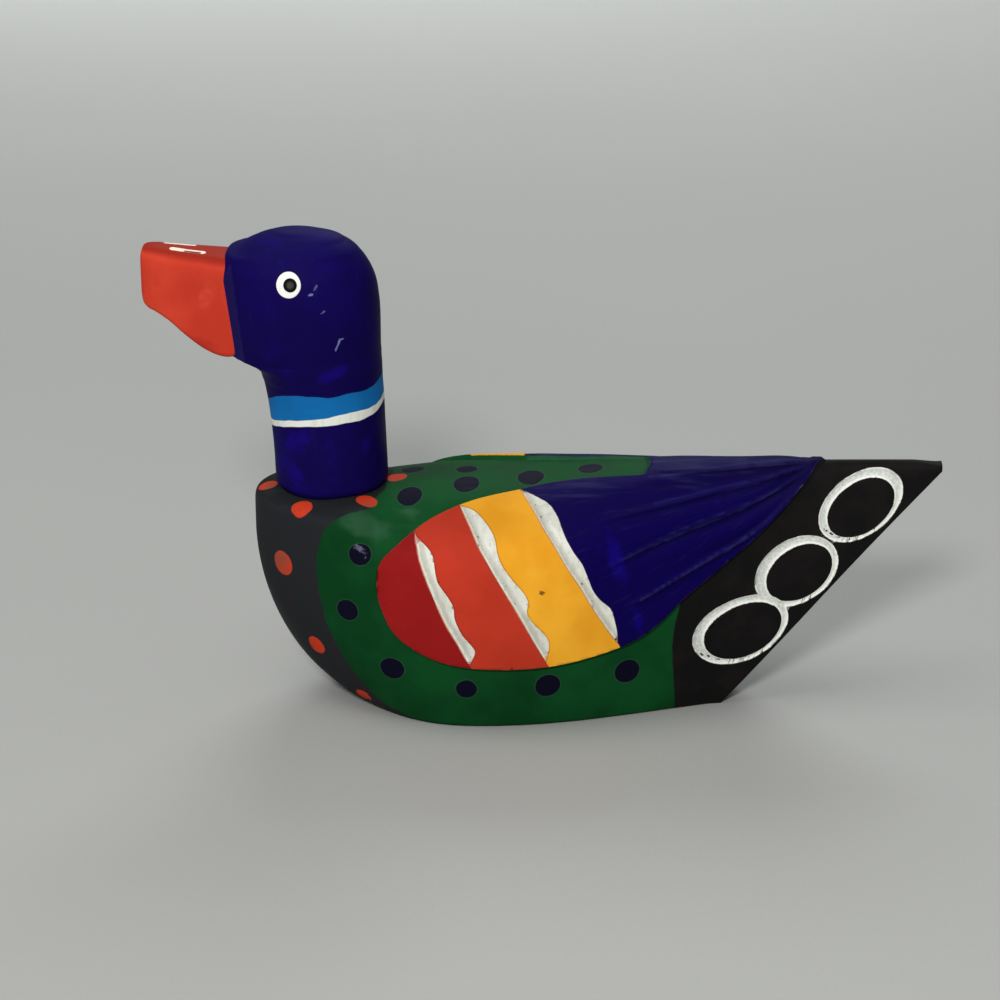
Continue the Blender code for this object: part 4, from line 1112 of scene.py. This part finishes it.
def headFinish():
    c = headPaint
    s = Sheet("headPaint")
    wave = s.noise(260.0, 2.0) - 0.5
    fine = s.noise(1400.0, 2.0) - 0.5
    broad = s.noise(60.0, 3.0, 0.55)
    patch = s.noise(120.0, 3.0, 0.6, shift=(1.7, 2.3, 0.4))
    height = s.part("Z")
    scratch = s.noise(420.0, 3.0, 0.6, stretch=(1.0, 1.0, 0.25))
    navy = s.blend(broad.spread(0.35, 0.7), c["navyDark"], c["navy"])
    navy = s.blend(patch.spread(0.55, 0.8) * height.spread(0.075, 0.062, 0.3, 0.9), navy, c["ultramarine"])
    navy = s.blend(scratch.spread(0.58, 0.8) * 0.14, navy, c["navyWorn"])
    # upward faces painted a little lighter: a painted sheen on the top of the head
    navy = s.blend(s.trait("upward").spread(0.45, 0.95) * (0.5 + scratch * 0.3) * 0.05, navy, c["navyTopWearAndSheen"])
    # the bevel beside the beak painted lighter: a painted highlight where the facet catches more light
    navy = s.blend(s.trait("facet") * 0.35, navy, c["cheekFacetHighlight"])
    blue = s.blend(broad.spread(0.3, 0.7), c["blueDeep"], c["blue"])
    white = s.blend(scratch.spread(0.45, 0.75) * 0.5, c["white"], c["whiteDull"])
    colour = navy
    # place on the head in mm, for what is drawn by its distance from a point
    shift = bodyForm["shiftX"] * 1000
    atX = s.part("X") * 1000 - shift
    atY = s.part("Y") * 1000
    atZ = height * 1000

    def ovalAt(cx, cz, a, b, tilt):
        # signed depth inside a tilted oval
        t = math.radians(tilt)
        u = ((atX - cx) * math.cos(t) + (atZ - cz) * math.sin(t)) / a
        v = ((atZ - cz) * math.cos(t) - (atX - cx) * math.sin(t)) / b
        return (1 - s.root(u * u + v * v)) * min(a, b)

    nearSide = (atY * -1).past(3.0, 1.0)
    bothSides = s.size(atY).past(3.0, 1.0)
    for cx, cz, a, b, tilt in headMarks["worn"]:
        patchy = (ovalAt(cx, cz, a, b, tilt) + wave * 3.0 + fine * 1.5).past(0.3, 1.6)
        colour = s.blend(patchy * bothSides * 0.55, colour, c["ultramarine"])
    for cx, cz, a, b, tilt, strength in headMarks["chips"]:
        chip = (ovalAt(cx, cz, a, b, tilt) + fine * 0.5).past(0.0, 0.14)
        colour = s.blend(chip * nearSide * strength, colour, c["chip"])
    colour = s.blend((s.trait("blue") + wave * 0.5).past(0.0, 0.16), colour, blue)
    colour = s.blend((s.trait("white") + wave * 0.5).past(0.0, 0.16), colour, white)
    ex, ez, radius, pupil, aft = headMarks["eye"]
    eye = (ovalAt(ex, ez, radius, radius * 1.03, 0) + wave * 0.16) * bothSides + (bothSides - 1) * 5
    black = (ovalAt(ex + aft, ez, pupil, pupil, 0) + wave * 0.10) * bothSides + (bothSides - 1) * 5
    colour = s.blend((eye + 0.35).past(0.0, 0.5) * 0.4, colour, c["eyeShade"])
    colour = s.blend(eye.past(0.0, 0.14), colour, c["eye"])
    colour = s.blend(black.past(0.0, 0.14), colour, c["pupil"])
    # a lighter core in the pupil: a painted highlight
    colour = s.blend(black.spread(0.4, 1.3), colour, c["pupilHighlight"])
    beak = s.blend(broad.spread(0.3, 0.7), c["beakDeep"], c["beak"])
    rubbedPatch = (ovalAt(-82.3, 105.5, 3.4, 2.2, 70) + wave * 3.0).past(0.4, 2.0) * patch.spread(0.4, 0.65)
    beak = s.blend(rubbedPatch * 0.55, beak, c["beakLight"])
    shade = (ovalAt(-83.0, 93.4, 3.0, 1.5, -20) + wave * 2.0).past(0.3, 1.6)
    beak = s.blend(shade * 0.35, beak, c["beakShade"])
    beak = s.blend(patch.spread(0.6, 0.8) * 0.2, beak, c["beakLight"])
    # the beak's upward faces painted darker: a painted shade on its top
    beak = s.blend(s.trait("upward").spread(0.3, 0.9) * 0.9, beak, c["beakTopShade"])
    beak = s.blend((s.trait("loop") + wave * 0.5).past(0.0, 0.15), beak, c["nostril"])
    # the nostrils' slits painted dark red: a painted shade in the shallow cuts
    beak = s.blend((s.trait("slit") + wave * 0.2).past(0.0, 0.2), beak, c["slit"])
    colour = s.blend(s.trait("beak").past(0.5, 0.1), colour, beak)
    rough = broad.spread(0.3, 0.7, *sheen["rough"])
    normal = s.bump(fine, sheen["grain"], 0.6)
    normal = s.bump(eye.spread(-0.1, 0.15) * 0.6 + s.trait("blue").spread(-0.1, 0.1) * 0.5
                    + s.trait("white").spread(-0.1, 0.1) * 0.7, 0.00008, 0.7, normal)
    return s.finish({"Base Color": colour, "Roughness": rough, "Specular IOR Level": sheen["level"],
                     "Normal": normal})


bpy.context.scene.view_settings.view_transform = "Standard"
makeCamera()
makeLamps()
makeFloor()
body = makeBody()
body.data.materials.append(bodyFinish())
head = makeHead()
head.data.materials.append(headFinish())
